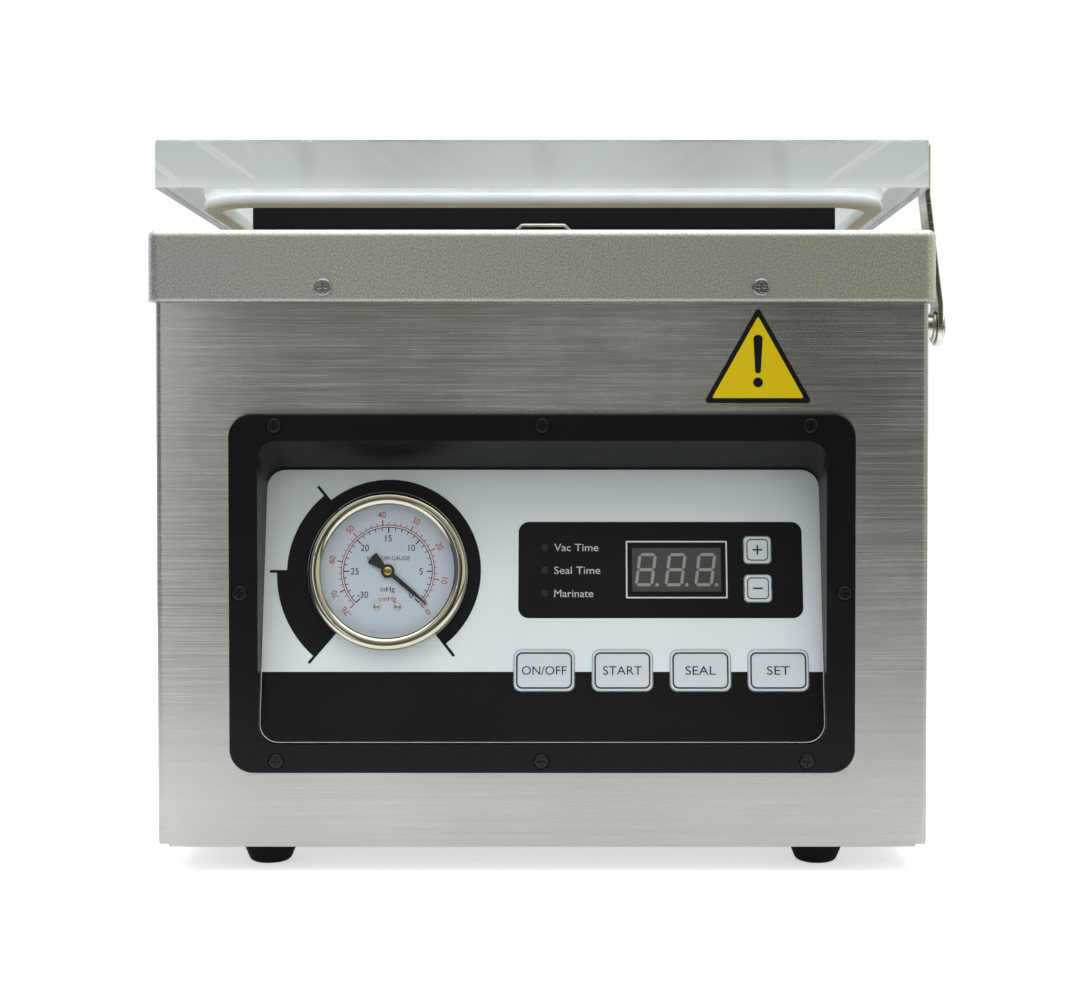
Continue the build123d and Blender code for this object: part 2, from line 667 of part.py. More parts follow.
with BuildPart() as leaf_screws:
    with Locations(*spots(lid_plane.offset(LID_UPPER + LEAF_T), LEAF_SCREWS)):
        add(hinge_screw)
save("lid_screws", leaf_screws, pad_screws)

# stud on the lid's right side that the hook catches
STUD_Z = LID_UNDER + LID_T / 2
stud_side = Plane(
    origin=lid_plane.from_local_coords((LID_W / 2, -STUD_BACK, STUD_Z)),
    x_dir=(0, 1, 0), z_dir=(1, 0, 0),
)
with BuildPart() as lid_stud:
    with BuildSketch(stud_side):
        Circle(3.0)
    extrude(amount=4.4)
    with BuildSketch(stud_side.offset(4.4)):
        Circle(4.6)
    extrude(amount=2.0)
    fillet(lid_stud.faces().sort_by(Axis.X)[-1].edges(), 0.8)
save("lid_stud", lid_stud)

# --- hinge brackets, pins and lift springs, on the deck behind the lid ---------------
EAR_T = 4.0
EAR_IN = LEAF_HALF + 0.4
BRACKET_T = 3.0
BRACKET_HALF = 22.0
PIN_HALF = 39.0
COIL_WIRE = 1.1
COIL_R = 6.4
COIL_TURNS = 7
COIL_X = EAR_IN + EAR_T + 2.0
with BuildPart() as hinge_brackets:
    for side in (-1, 1):
        with BuildSketch(Plane.XY.offset(RIM_TOP)):
            with Locations((side * HINGE_X, 222.0)):
                RectangleRounded(2 * BRACKET_HALF, 25.0, 2.0)
        extrude(amount=BRACKET_T)
        for x in (side * HINGE_X - EAR_IN - EAR_T, side * HINGE_X + EAR_IN):
            with BuildSketch(facing_right(x)):
                with BuildLine():
                    Polyline((HINGE_Y + 7.5, HINGE_Z), (HINGE_Y + 8.0, RIM_TOP + BRACKET_T))
                    Line((HINGE_Y + 8.0, RIM_TOP + BRACKET_T), (HINGE_Y - 8.0, RIM_TOP + BRACKET_T))
                    Line((HINGE_Y - 8.0, RIM_TOP + BRACKET_T), (HINGE_Y - 7.5, HINGE_Z))
                    ThreePointArc(
                        (HINGE_Y - 7.5, HINGE_Z), (HINGE_Y, HINGE_Z + 7.5), (HINGE_Y + 7.5, HINGE_Z)
                    )
                make_face()
                with Locations((HINGE_Y, HINGE_Z)):
                    Circle(PIN_R, mode=Mode.SUBTRACT)
            extrude(amount=EAR_T)
    with Locations(*[(x, y, RIM_TOP + BRACKET_T) for x, y in HINGE_SCREWS]):
        Hole(2.0, depth=BRACKET_T)
save("hinge_brackets", hinge_brackets)

with BuildPart() as bracket_screws:
    with Locations(*[(x, y, RIM_TOP + BRACKET_T) for x, y in HINGE_SCREWS]):
        add(hinge_screw)
save("case_screws", rim_screws, rear_screws, bracket_screws, foot_screws, foot_nuts)

with BuildPart() as hinge_pins:
    for side in (-1, 1):
        with BuildSketch(facing_right(side * HINGE_X - PIN_HALF)):
            with Locations((HINGE_Y, HINGE_Z)):
                Circle(PIN_R)
        extrude(amount=2 * PIN_HALF)
    chamfer(hinge_pins.faces().filter_by(Axis.X).edges(), 0.6)
save("hinge_pins", hinge_pins)

with BuildPart() as coil_turn:
    with BuildSketch(Plane.XZ):
        with Locations((COIL_R, 0)):
            Circle(COIL_WIRE)
    revolve(axis=Axis.Z)
coil_xs = [
    side * HINGE_X + end * (COIL_X + i * (2 * COIL_WIRE + 0.06))
    for side in (-1, 1)
    for end in (-1, 1)
    for i in range(COIL_TURNS)
]
with BuildPart() as hinge_springs:
    with Locations(*[Location((x, HINGE_Y, HINGE_Z), (0, 90, 0)) for x in coil_xs]):
        add(coil_turn.part)
save("hinge_springs", hinge_springs)

# --- hook that holds the lid down for transport, on the right side -------------------
HOOK_TOP = HOOK_Z + 79.0
HOOK_END_R = 8.5
NOSE_Z = HOOK_Z + 73.0
NOSE_Y = HOOK_Y + 18.0
HOOK_BEND_LOW = HOOK_Z + 9.0
HOOK_BEND_HIGH = HOOK_Z + 56.0
with BuildPart() as lid_hook:
    with BuildSketch(facing_front(HOOK_Y - 30.0)):
        with BuildLine():
            Polyline(
                (HOOK_LOW_X, HOOK_Z - 12.0),
                (HOOK_LOW_X, HOOK_BEND_LOW),
                (HOOK_HIGH_X, HOOK_BEND_HIGH),
                (HOOK_HIGH_X, HOOK_TOP + 2.0),
                (HOOK_HIGH_X + HOOK_T, HOOK_TOP + 2.0),
                (HOOK_HIGH_X + HOOK_T, HOOK_BEND_HIGH + 0.15),
                (HOOK_LOW_X + HOOK_T, HOOK_BEND_LOW + 0.15),
                (HOOK_LOW_X + HOOK_T, HOOK_Z - 12.0),
                close=True,
            )
        make_face()
    extrude(amount=-60.0)
    with BuildSketch(facing_right(150.0)) as hook_side:
        with Locations((HOOK_Y, HOOK_Z)):
            Circle(HOOK_END_R)
        with BuildLine():
            Polyline(
                (HOOK_Y - HOOK_END_R, HOOK_Z),
                (HOOK_Y + HOOK_END_R, HOOK_Z),
                (HOOK_Y + HOOK_W / 2, HOOK_Z + 20.0),
                (HOOK_Y + HOOK_W / 2, NOSE_Z),
                (NOSE_Y, NOSE_Z),
                (NOSE_Y, HOOK_TOP),
                (HOOK_Y - HOOK_W / 2, HOOK_TOP),
                (HOOK_Y - HOOK_W / 2, HOOK_Z + 20.0),
                close=True,
            )
        make_face()
        with Locations((HOOK_Y, HOOK_Z)):
            Circle(2.5 + RUN_CLEAR, mode=Mode.SUBTRACT)
        fillet(hook_side.vertices().group_by(Axis.Y)[-1], 3.0)
    extrude(amount=40.0, mode=Mode.INTERSECT)
save("lid_hook", lid_hook)

SCREW_END = HOOK_LOW_X + HOOK_T + 0.2
with BuildPart() as hook_pivot:
    with BuildSketch(facing_right(BODY_X - SHEET - 3.0)):
        with Locations((HOOK_Y, HOOK_Z)):
            Circle(2.5)
    extrude(amount=SCREW_END - BODY_X + SHEET + 3.0)
    with BuildSketch(facing_right(SCREW_END)):
        with Locations((HOOK_Y, HOOK_Z)):
            Circle(5.7)
    extrude(amount=1.5)
    fillet(hook_pivot.faces().sort_by(Axis.X)[-1].edges(), 0.9)

with BuildPart() as hook_spacer:
    with BuildSketch(facing_right(BODY_X)):
        with Locations((HOOK_Y, HOOK_Z)):
            Circle(5.4)
            Circle(2.5, mode=Mode.SUBTRACT)
    extrude(amount=HOOK_LOW_X - BODY_X - 1.2)
    with BuildSketch(facing_right(HOOK_LOW_X - 1.2)):
        with Locations((HOOK_Y, HOOK_Z)):
            Circle(7.0)
            Circle(2.5, mode=Mode.SUBTRACT)
    extrude(amount=1.0)
save("hook_pivot", hook_pivot, hook_spacer)

# --- control panel: frame, plate, keys and display -----------------------------------
FRAME_T = 2.4
WALL = 2.0
pocket_front = facing_front(BEZEL_FACE)
POCKET_MID = (POCKET_Z0 + POCKET_Z1) / 2
POCKET_H = POCKET_Z1 - POCKET_Z0


def pocket_outline(grow):
    """Loft from the opening in the bezel's face back to the tilted panel plate."""
    with BuildPart() as pocket:
        with BuildSketch(pocket_front):
            with Locations((0, POCKET_MID)):
                RectangleRounded(POCKET_W + 2 * grow, POCKET_H + 2 * grow, POCKET_R + grow)
        with BuildSketch(panel_plane.offset(-PANEL_T)):
            with Locations((0, PANEL_H / 2)):
                RectangleRounded(POCKET_W + 2 * grow, PANEL_H + 2 * grow, POCKET_R + grow)
        loft(ruled=True)
    return pocket.part


pocket_walls = pocket_outline(WALL)
pocket_space = pocket_outline(0.0)
with BuildPart() as panel_bezel:
    with BuildSketch(facing_front(-BODY_Y)):
        with Locations((0, BEZEL_Z)):
            RectangleRounded(BEZEL_W, BEZEL_H, 10.0)
    extrude(amount=-BEZEL_FACE - BODY_Y)
    fillet(panel_bezel.faces().sort_by(Axis.Y)[0].edges(), 0.9)
    add(pocket_walls)
    with BuildSketch(panel_plane.offset(-PANEL_T)):
        with Locations((0, PANEL_H / 2)):
            RectangleRounded(POCKET_W + 2 * WALL, PANEL_H + 2 * WALL, POCKET_R + WALL)
    extrude(amount=-4.0)
    add(pocket_space, mode=Mode.SUBTRACT)
    with BuildSketch(panel_plane.offset(-PANEL_T)):
        with Locations((0, PANEL_H / 2)):
            RectangleRounded(POCKET_W - 6.0, PANEL_H - 6.0, POCKET_R - 3.0)
    extrude(amount=-4.0, mode=Mode.SUBTRACT)
    with Locations(*spots(facing_front(BEZEL_FACE), BEZEL_SCREWS)):
        CounterBoreHole(1.6, 3.3, 0.7, depth=FRAME_T + 1)
save("panel_bezel", panel_bezel)

with BuildPart() as bezel_screws:
    with Locations(*spots(facing_front(BEZEL_FACE + 0.7), BEZEL_SCREWS)):
        add(bezel_screw)
save("bezel_screws", bezel_screws)

# plate behind the printed overlay, cut for the gauge, the keys, the lamps and the display
with BuildPart() as control_panel:
    with BuildSketch(panel_plane):
        with Locations((0, PANEL_H / 2)):
            RectangleRounded(POCKET_W - 0.2, PANEL_H - 0.2, POCKET_R - 0.1)
        with Locations(GAUGE_AT):
            Circle(GAUGE_HOLE, mode=Mode.SUBTRACT)
        with Locations(*[(x, KEY_ROW) for x in KEY_XS.values()]):
            RectangleRounded(
                KEY_SIZE[0] + 2 * KEY_GAP, KEY_SIZE[1] + 2 * KEY_GAP, 2.9 + KEY_GAP,
                mode=Mode.SUBTRACT,
            )
        with Locations(*SMALL_KEYS.values()):
            RectangleRounded(
                SMALL_KEY[0] + 2 * KEY_GAP, SMALL_KEY[1] + 2 * KEY_GAP, 1.6 + KEY_GAP,
                mode=Mode.SUBTRACT,
            )
        with Locations(*LED_AT):
            Circle(1.6, mode=Mode.SUBTRACT)
        with Locations(DISPLAY_AT):
            Rectangle(DISPLAY_SIZE[0] + 0.2, DISPLAY_SIZE[1] + 0.2, mode=Mode.SUBTRACT)
    extrude(amount=-PANEL_T)
save("control_panel", control_panel)


panel_axis = Axis(panel_plane.origin, panel_plane.z_dir)
SWITCH_H = 4.3
SWITCH_GAP = 0.9


def panel_key(at, size, corner):
    """Key cap with a guide skirt inside the plate and a stem towards its switch."""
    with BuildPart() as key:
        with BuildSketch(panel_plane.offset(KEY_PROUD)):
            with Locations(at):
                RectangleRounded(size[0], size[1], corner)
        extrude(amount=-(KEY_PROUD + PANEL_T - 0.3))
        fillet(key.faces().sort_by(panel_axis)[-1].edges(), 0.45)
        with BuildSketch(panel_plane.offset(-(PANEL_T - 0.3))):
            with Locations(at):
                Circle(1.75)
        extrude(amount=-(BOARD_BACK - SWITCH_H - SWITCH_GAP - PANEL_T + 0.3))
    return key


keys = {name: ((x, KEY_ROW), KEY_SIZE, 2.9) for name, x in KEY_XS.items()}
keys.update({name: (at, SMALL_KEY, 1.6) for name, at in SMALL_KEYS.items()})
for name, (at, size, corner) in keys.items():
    save(name, panel_key(at, size, corner))

BOARD = (142.0, 82.0)
BOARD_AT = (48.0, 50.0)
with BuildPart() as control_board:
    with BuildSketch(panel_plane.offset(-BOARD_BACK)):
        with Locations(BOARD_AT):
            RectangleRounded(BOARD[0], BOARD[1], 2.0)
            with GridLocations(BOARD[0] - 8.0, BOARD[1] - 8.0, 2, 2):
                Circle(1.6, mode=Mode.SUBTRACT)
    extrude(amount=-BOARD_T)

with BuildPart() as key_switches:
    with BuildSketch(panel_plane.offset(-BOARD_BACK)):
        with Locations(*[at for at, size, corner in keys.values()]):
            Rectangle(6.0, 6.0)
    extrude(amount=SWITCH_H - 0.8)
    with BuildSketch(panel_plane.offset(-BOARD_BACK + SWITCH_H - 0.8)):
        with Locations(*[at for at, size, corner in keys.values()]):
            Circle(1.75)
    extrude(amount=0.8)

with BuildPart() as board_parts:
    for dx, dv, w, h, t in (
        (-40.0, 20.0, 22.0, 15.0, 9.0),
        (-12.0, 22.0, 22.0, 15.0, 9.0),
        (16.0, 22.0, 18.0, 18.0, 4.0),
        (44.0, 20.0, 20.0, 12.0, 11.0),
        (-40.0, -18.0, 30.0, 10.0, 8.0),
        (30.0, -20.0, 44.0, 10.0, 10.0),
    ):
        with BuildSketch(panel_plane.offset(-BOARD_BACK - BOARD_T)):
            with Locations((BOARD_AT[0] + dx, BOARD_AT[1] + dv)):
                Rectangle(w, h)
        extrude(amount=-t)
save("control_board", control_board, key_switches, board_parts)

with BuildPart() as display_module:
    with BuildSketch(panel_plane.offset(-0.3)):
        with Locations(DISPLAY_AT):
            Rectangle(*DISPLAY_SIZE)
    extrude(amount=-(BOARD_BACK - 0.3))
save("display_module", display_module)

with BuildPart() as status_lamps:
    for x, v in LED_AT:
        with BuildSketch(panel_plane.offset(-BOARD_BACK)):
            with Locations((x, v)):
                Circle(1.5)
        extrude(amount=BOARD_BACK + 0.35)
    fillet(status_lamps.faces().filter_by(panel_axis).sort_by(panel_axis)[-3:].edges(), 0.3)
save("status_lamps", status_lamps)

# --- vacuum gauge --------------------------------------------------------------------
CASE_DEPTH = 31.0
RING_H = 6.2
DIAL_H = 0.6
GLASS_H = 3.6
NEEDLE_H = 1.8
NEEDLE_TIP = 22.4
NEEDLE_TAIL = 8.9
NEEDLE_SHOULDER = 14.5  # from here the pointer narrows to its tip
NEEDLE_W = 2.1
TAIL_W = 5.8
NEEDLE_REST = -40.0  # degrees anticlockwise from the right
gauge_plane = Plane(
    origin=panel_plane.from_local_coords((GAUGE_AT[0], GAUGE_AT[1], 0)),
    x_dir=(1, 0, 0), z_dir=panel_plane.z_dir,
)
gauge_side = Plane(
    origin=gauge_plane.origin, x_dir=(1, 0, 0), z_dir=-gauge_plane.y_dir
)
gauge_axis = Axis(gauge_plane.origin, gauge_plane.z_dir)

with BuildPart() as gauge_case:
    with BuildSketch(gauge_plane.offset(DIAL_H - 0.6)):
        Circle(GAUGE_HOLE - 0.2)
    extrude(amount=-CASE_DEPTH)
    fillet(gauge_case.faces().sort_by(gauge_axis)[0].edges(), 3.0)
    with BuildSketch(gauge_plane):
        Circle(GAUGE_HOLE - 1.4)
    extrude(amount=-(CASE_DEPTH - 1.5), mode=Mode.SUBTRACT)
    with BuildSketch(gauge_plane.offset(-CASE_DEPTH)):
        Circle(4.0)
    extrude(amount=2.0, mode=Mode.SUBTRACT)

with BuildPart() as gauge_bezel:
    with BuildSketch(gauge_side):
        with BuildLine():
            Polyline(
                (GAUGE_R - 3.2, 4.6), (DIAL_R + 0.1, 3.9), (DIAL_R + 0.1, 0),
                (GAUGE_R, 0), (GAUGE_R, 2.4),
            )
            ThreePointArc((GAUGE_R, 2.4), (GAUGE_R - 0.9, RING_H - 0.5), (GAUGE_R - 2.4, RING_H))
            ThreePointArc((GAUGE_R - 2.4, RING_H), (GAUGE_R - 4.3, 5.9), (GAUGE_R - 5.2, 5.2))
            Line((GAUGE_R - 5.2, 5.2), (GAUGE_R - 3.2, 4.6))
        make_face()
    revolve(axis=gauge_axis)
save("gauge_bezel", gauge_bezel)

with BuildPart() as gauge_dial:
    with BuildSketch(gauge_plane):
        Circle(DIAL_R)
        Circle(1.2, mode=Mode.SUBTRACT)
    extrude(amount=DIAL_H)
save("gauge_dial", gauge_dial)

with BuildPart() as gauge_lens:
    with BuildSketch(gauge_plane.offset(GLASS_H - 1.2)):
        Circle(DIAL_R)
    extrude(amount=1.2)
save("gauge_lens", gauge_lens)

turn = radians(NEEDLE_REST)
needle_plane = Plane(
    origin=gauge_plane.from_local_coords((0, 0, NEEDLE_H)),
    x_dir=gauge_plane.x_dir * cos(turn) + gauge_plane.y_dir * sin(turn),
    z_dir=gauge_plane.z_dir,
)
with BuildPart() as gauge_needle:
    with BuildSketch(needle_plane) as needle_outline:
        with BuildLine():
            Polyline(
                (-NEEDLE_TAIL, TAIL_W / 2), (-2.5, 1.2), (0, NEEDLE_W / 2), (NEEDLE_SHOULDER, 0.8), (NEEDLE_TIP, 0.12),
                (NEEDLE_TIP, -0.12), (NEEDLE_SHOULDER, -0.8), (0, -NEEDLE_W / 2), (-2.5, -1.2), (-NEEDLE_TAIL, -TAIL_W / 2),
            )
            ThreePointArc(
                (-NEEDLE_TAIL, -TAIL_W / 2), (-NEEDLE_TAIL - 0.35, 0), (-NEEDLE_TAIL, TAIL_W / 2)
            )
        make_face()
        fillet(needle_outline.vertices().sort_by(Axis.X)[:2], 0.6)
    extrude(amount=-0.35)
    with BuildSketch(needle_plane):
        Circle(2.9)
    extrude(amount=-0.6)
    with BuildSketch(needle_plane):
        Circle(1.0)
    extrude(amount=-(NEEDLE_H + 12.6))
save("gauge_needle", gauge_needle)

# movement plate with the curved pressure tube, behind the dial
with BuildPart() as gauge_movement:
    with BuildSketch(gauge_plane.offset(-11.0)):
        Rectangle(30.0, 16.0)
        Circle(1.0 + RUN_CLEAR, mode=Mode.SUBTRACT)
    extrude(amount=-2.0)
    with BuildSketch(gauge_plane.offset(-6.0)):
        Circle(24.0)
        Circle(20.0, mode=Mode.SUBTRACT)
        with Locations((0, -14.0)):
            Rectangle(60.0, 20.0, mode=Mode.SUBTRACT)
    extrude(amount=-4.0)
    with BuildSketch(gauge_plane.offset(-13.0)):
        Rectangle(10.0, 10.0)
    extrude(amount=-(CASE_DEPTH - 1.5 - 13.0))

STEM_LEN = 22.0
with BuildPart() as gauge_stem:
    with BuildSketch(gauge_plane.offset(-(CASE_DEPTH - 1.5))):
        Circle(4.0)
    extrude(amount=-1.5)
    with BuildSketch(gauge_plane.offset(-CASE_DEPTH)):
        RegularPolygon(7.0, 6)
    extrude(amount=-7.0)
    with BuildSketch(gauge_plane.offset(-CASE_DEPTH - 7.0)):
        Circle(2.5)
    extrude(amount=-(STEM_LEN - 7.0))
save("gauge_case", gauge_case, gauge_movement, gauge_stem)

# --- warning plate, with no lettering, on the front ----------------------------------
SIGN_AT = (90.3, 197.6)
SIGN_W = 45.5
SIGN_H = 40.4
with BuildPart() as warning_label:
    with BuildSketch(facing_front(-BODY_Y)) as sign:
        Polygon(
            (SIGN_AT[0] - SIGN_W / 2, SIGN_AT[1]), (SIGN_AT[0] + SIGN_W / 2, SIGN_AT[1]),
            (SIGN_AT[0], SIGN_AT[1] + SIGN_H), align=None,
        )
        fillet(sign.vertices(), 1.2)
    extrude(amount=0.25)
save("warning_label", warning_label)

# --- vacuum pump and its motor -------------------------------------------------------
MOTOR_X0 = -62.0
MOTOR_X1 = 58.0
SHAFT_R = 5.0
FAN_X = MOTOR_X0 - 14.0
with BuildPart() as pump_motor:
    with BuildSketch(facing_right(MOTOR_X0)):
        with Locations((PUMP_Y, PUMP_Z)):
            Circle(PUMP_R)
            with PolarLocations(PUMP_R, 28):
                Rectangle(8.0, 1.8)
            Rectangle(60.0, PUMP_R + 6.0, align=(Align.CENTER, Align.MAX))
            Circle(PUMP_R - 10.0, mode=Mode.SUBTRACT)
    extrude(amount=MOTOR_X1 - MOTOR_X0)
    for x in (MOTOR_X0, MOTOR_X1 - 8.0):
        with BuildSketch(facing_right(x)):
            with Locations((PUMP_Y, PUMP_Z)):
                Circle(PUMP_R - 8.0)
                Circle(SHAFT_R + RUN_CLEAR, mode=Mode.SUBTRACT)
        extrude(amount=8.0)

with BuildPart() as pump_stator:
    with BuildSketch(facing_right(MOTOR_X0 + 22.0)):
        with Locations((PUMP_Y, PUMP_Z)):
            Circle(PUMP_R - 10.0)
            Circle(25.0, mode=Mode.SUBTRACT)
    extrude(amount=MOTOR_X1 - MOTOR_X0 - 44.0)
save("pump_motor", pump_motor, pump_stator)

with BuildPart() as pump_rotor:
    with BuildSketch(facing_right(FAN_X - 6.0)):
        with Locations((PUMP_Y, PUMP_Z)):
            Circle(SHAFT_R)
    extrude(amount=MOTOR_X1 + 30.0 - FAN_X + 6.0)
    with BuildSketch(facing_right(MOTOR_X0 + 24.0)):
        with Locations((PUMP_Y, PUMP_Z)):
            Circle(24.4)
    extrude(amount=MOTOR_X1 - MOTOR_X0 - 48.0)

with BuildPart() as pump_fan:
    with BuildSketch(facing_right(FAN_X)):
        with Locations((PUMP_Y, PUMP_Z)):
            Circle(14.0)
            with PolarLocations(22.0, 7):
                Rectangle(30.0, 3.0)
            Circle(SHAFT_R, mode=Mode.SUBTRACT)
    extrude(amount=11.0)
save("pump_fan", pump_fan)

COWL_X = FAN_X - 12.0
with BuildPart() as fan_cowl:
    with BuildSketch(facing_right(COWL_X)):
        with Locations((PUMP_Y, PUMP_Z)):
            Circle(PUMP_R)
    extrude(amount=MOTOR_X0 - COWL_X)
    with BuildSketch(facing_right(COWL_X + 1.5)):
        with Locations((PUMP_Y, PUMP_Z)):
            Circle(PUMP_R - 1.5)
    extrude(amount=MOTOR_X0 - COWL_X - 1.5, mode=Mode.SUBTRACT)
    with BuildSketch(facing_right(COWL_X)):
        with Locations((PUMP_Y, PUMP_Z)):
            for ring in (16.0, 24.0, 32.0):
                with PolarLocations(ring, 6):
                    SlotOverall(ring * 0.72, 4.0, rotation=90)
    extrude(amount=1.5, mode=Mode.SUBTRACT)
save("fan_cowl", fan_cowl)

HEAD_X1 = MOTOR_X1 + 44.0
with BuildPart() as pump_head:
    with BuildSketch(facing_right(MOTOR_X1)):
        with Locations((PUMP_Y, PUMP_Z)):
            RectangleRounded(84.0, 84.0, 10.0)
            Circle(SHAFT_R + RUN_CLEAR, mode=Mode.SUBTRACT)
    extrude(amount=HEAD_X1 - MOTOR_X1)
    with BuildSketch(facing_right(MOTOR_X1 + 10.0)):
        with Locations((PUMP_Y, PUMP_Z)):
            Circle(22.0)
    extrude(amount=22.0, mode=Mode.SUBTRACT)
    with BuildSketch(Plane.XY.offset(PUMP_Z + 42.0)):
        with Locations((MOTOR_X1 + 22.0, PUMP_Y - 22.0), (MOTOR_X1 + 22.0, PUMP_Y + 22.0)):
            Circle(8.0)
    extrude(amount=14.0)
    with Locations(
        *[(MOTOR_X1 + 22.0, PUMP_Y + dy, PUMP_Z + 56.0) for dy in (-22.0, 22.0)]
    ):
        Hole(4.0, depth=20.0)
    for i in range(5):
        with BuildSketch(Plane.XY.offset(PUMP_Z - 30.0 + 13.0 * i)):
            with Locations((MOTOR_X1 + 22.0, PUMP_Y)):
                Rectangle(60.0, 90.0)
                Rectangle(32.0, 74.0, mode=Mode.SUBTRACT)
        extrude(amount=3.0, mode=Mode.SUBTRACT)
save("pump_head", pump_head)

VANE_R = 16.0
with BuildPart() as pump_vane_rotor:
    with BuildSketch(facing_right(MOTOR_X1 + 10.5)):
        with Locations((PUMP_Y, PUMP_Z)):
            Circle(VANE_R)
            with PolarLocations(VANE_R + 1.5, 3):
                Rectangle(6.0, 2.0)
            Circle(SHAFT_R, mode=Mode.SUBTRACT)
    extrude(amount=19.0)
save("pump_rotor", pump_rotor, pump_vane_rotor)

MOUNT_XS = (MOTOR_X0 + 14.0, MOTOR_X1 - 14.0)
FLOOR_Z = FOOT_H + BASE_T
with BuildPart() as pump_mounts:
    for x in MOUNT_XS:
        with BuildSketch(Plane.XY.offset(FLOOR_Z)):
            with Locations((x, PUMP_Y - 20.0), (x, PUMP_Y + 20.0)):
                Circle(8.0)
        extrude(amount=PUMP_Z - PUMP_R - 6.0 - FLOOR_Z)
save("pump_mounts", pump_mounts)

with BuildPart() as exhaust_filter:
    with BuildSketch(Plane.XY.offset(FLOOR_Z)):
        with Locations((132.0, PUMP_Y + 85.0)):
            Circle(24.0)
    extrude(amount=97.0)
    fillet(exhaust_filter.faces().sort_by(Axis.Z)[-1].edges(), 6.0)
    with BuildSketch(Plane.XY.offset(FLOOR_Z + 97.0)):
        with Locations((132.0, PUMP_Y + 85.0)):
            Circle(5.0)
    extrude(amount=14.0)
save("exhaust_filter", exhaust_filter)

# --- electrics -----------------------------------------------------------------------
CORE = (78.0, 62.0, 68.0)
CORE_AT = (-95.0, -92.0)
with BuildPart() as transformer_core:
    with BuildSketch(Plane.XY.offset(FLOOR_Z)):
        with Locations(CORE_AT):
            Rectangle(CORE[0] + 18.0, 36.0)
    extrude(amount=2.0)
    with BuildSketch(facing_front(CORE_AT[1] - 18.0)):
        with Locations((CORE_AT[0], FLOOR_Z + 2.0 + CORE[2] / 2)):
            Rectangle(CORE[0], CORE[2])
            with Locations((-19.0, 0), (19.0, 0)):
                Rectangle(14.0, 42.0, mode=Mode.SUBTRACT)
    extrude(amount=-36.0)
with BuildPart() as transformer_coil:
    with BuildSketch(Plane.XY.offset(FLOOR_Z + 2.0 + CORE[2] / 2 - 20.5)):
        with Locations(CORE_AT):
            RectangleRounded(51.0, CORE[1], 9.0)
            Rectangle(24.2, 36.2, mode=Mode.SUBTRACT)
    extrude(amount=41.0)
save("transformer", transformer_core, transformer_coil)

VALVE_YS = (-150.0, -118.0, -86.0)
VALVE_X = 118.0
with BuildPart() as valve_manifold:
    with BuildSketch(Plane.XY.offset(FLOOR_Z)):
        with Locations((VALVE_X, -118.0)):
            Rectangle(30.0, 104.0)
    extrude(amount=22.0)
    with BuildSketch(facing_left(VALVE_X - 15.0)):
        with Locations(*[(-y, FLOOR_Z + 11.0) for y in VALVE_YS]):
            Circle(4.0)
    extrude(amount=12.0)
    with BuildSketch(facing_left(VALVE_X - 15.0 + 6.0)):
        with Locations(*[(-y, FLOOR_Z + 11.0) for y in VALVE_YS]):
            Circle(2.2)
    extrude(amount=20.0, mode=Mode.SUBTRACT)
with BuildPart() as solenoid_coils:
    for y in VALVE_YS:
        with BuildSketch(Plane.XY.offset(FLOOR_Z + 26.0)):
            with Locations((VALVE_X, y)):
                RectangleRounded(24.0, 26.0, 3.0)
                Circle(6.0, mode=Mode.SUBTRACT)
        extrude(amount=26.0)
with BuildPart() as solenoid_stems:
    for y in VALVE_YS:
        with BuildSketch(Plane.XY.offset(FLOOR_Z + 22.0)):
            with Locations((VALVE_X, y)):
                Circle(9.0)
        extrude(amount=4.0)
        with BuildSketch(Plane.XY.offset(FLOOR_Z + 26.0)):
            with Locations((VALVE_X, y)):
                Circle(5.9)
        extrude(amount=26.0)
        with BuildSketch(Plane.XY.offset(FLOOR_Z + 52.0)):
            with Locations((VALVE_X, y)):
                RegularPolygon(7.0, 6)
        extrude(amount=4.0)
save("valve_block", valve_manifold, solenoid_coils, solenoid_stems)

# mains inlet with its fuse drawer, in the rear panel
with BuildPart() as power_inlet:
    with BuildSketch(facing_back(PANEL_BACK_Y)):
        with Locations(INLET_AT):
            RectangleRounded(58.0, 33.0, 3.0)
    extrude(amount=2.4)
    with BuildSketch(facing_back(PANEL_BACK_Y)):
        with Locations(INLET_AT):
            Rectangle(47.0, 27.0)
    extrude(amount=-24.0)
    socket_at = (INLET_AT[0] - 9.0, INLET_AT[1])
    with BuildSketch(facing_back(PANEL_BACK_Y + 2.4)):
        with Locations(socket_at):
            RectangleRounded(24.4, 16.8, 3.0)
    extrude(amount=-17.0, mode=Mode.SUBTRACT)
    with BuildSketch(facing_back(PANEL_BACK_Y + 2.4)):
        with Locations((INLET_AT[0] + 15.0, INLET_AT[1])):
            Rectangle(12.0, 20.0)
    extrude(amount=-16.0, mode=Mode.SUBTRACT)
with BuildPart() as inlet_pins:
    with BuildSketch(facing_back(PANEL_BACK_Y - 14.6)):
        with Locations(
            (socket_at[0] - 7.0, socket_at[1] - 2.0), (socket_at[0], socket_at[1] + 2.0),
            (socket_at[0] + 7.0, socket_at[1] - 2.0),
        ):
            Rectangle(2.0, 4.0)
    extrude(amount=11.0)
save("power_inlet", power_inlet, inlet_pins)
with BuildPart() as fuse_drawer:
    with BuildSketch(facing_back(PANEL_BACK_Y - 13.6)):
        with Locations((INLET_AT[0] + 15.0, INLET_AT[1])):
            Rectangle(11.8, 19.8)
    extrude(amount=16.8)
    with BuildSketch(facing_back(PANEL_BACK_Y + 3.2)):
        with Locations((INLET_AT[0] + 15.0, INLET_AT[1] + 5.0)):
            Rectangle(8.0, 2.0)
    extrude(amount=-1.2, mode=Mode.SUBTRACT)
save("fuse_drawer", fuse_drawer)

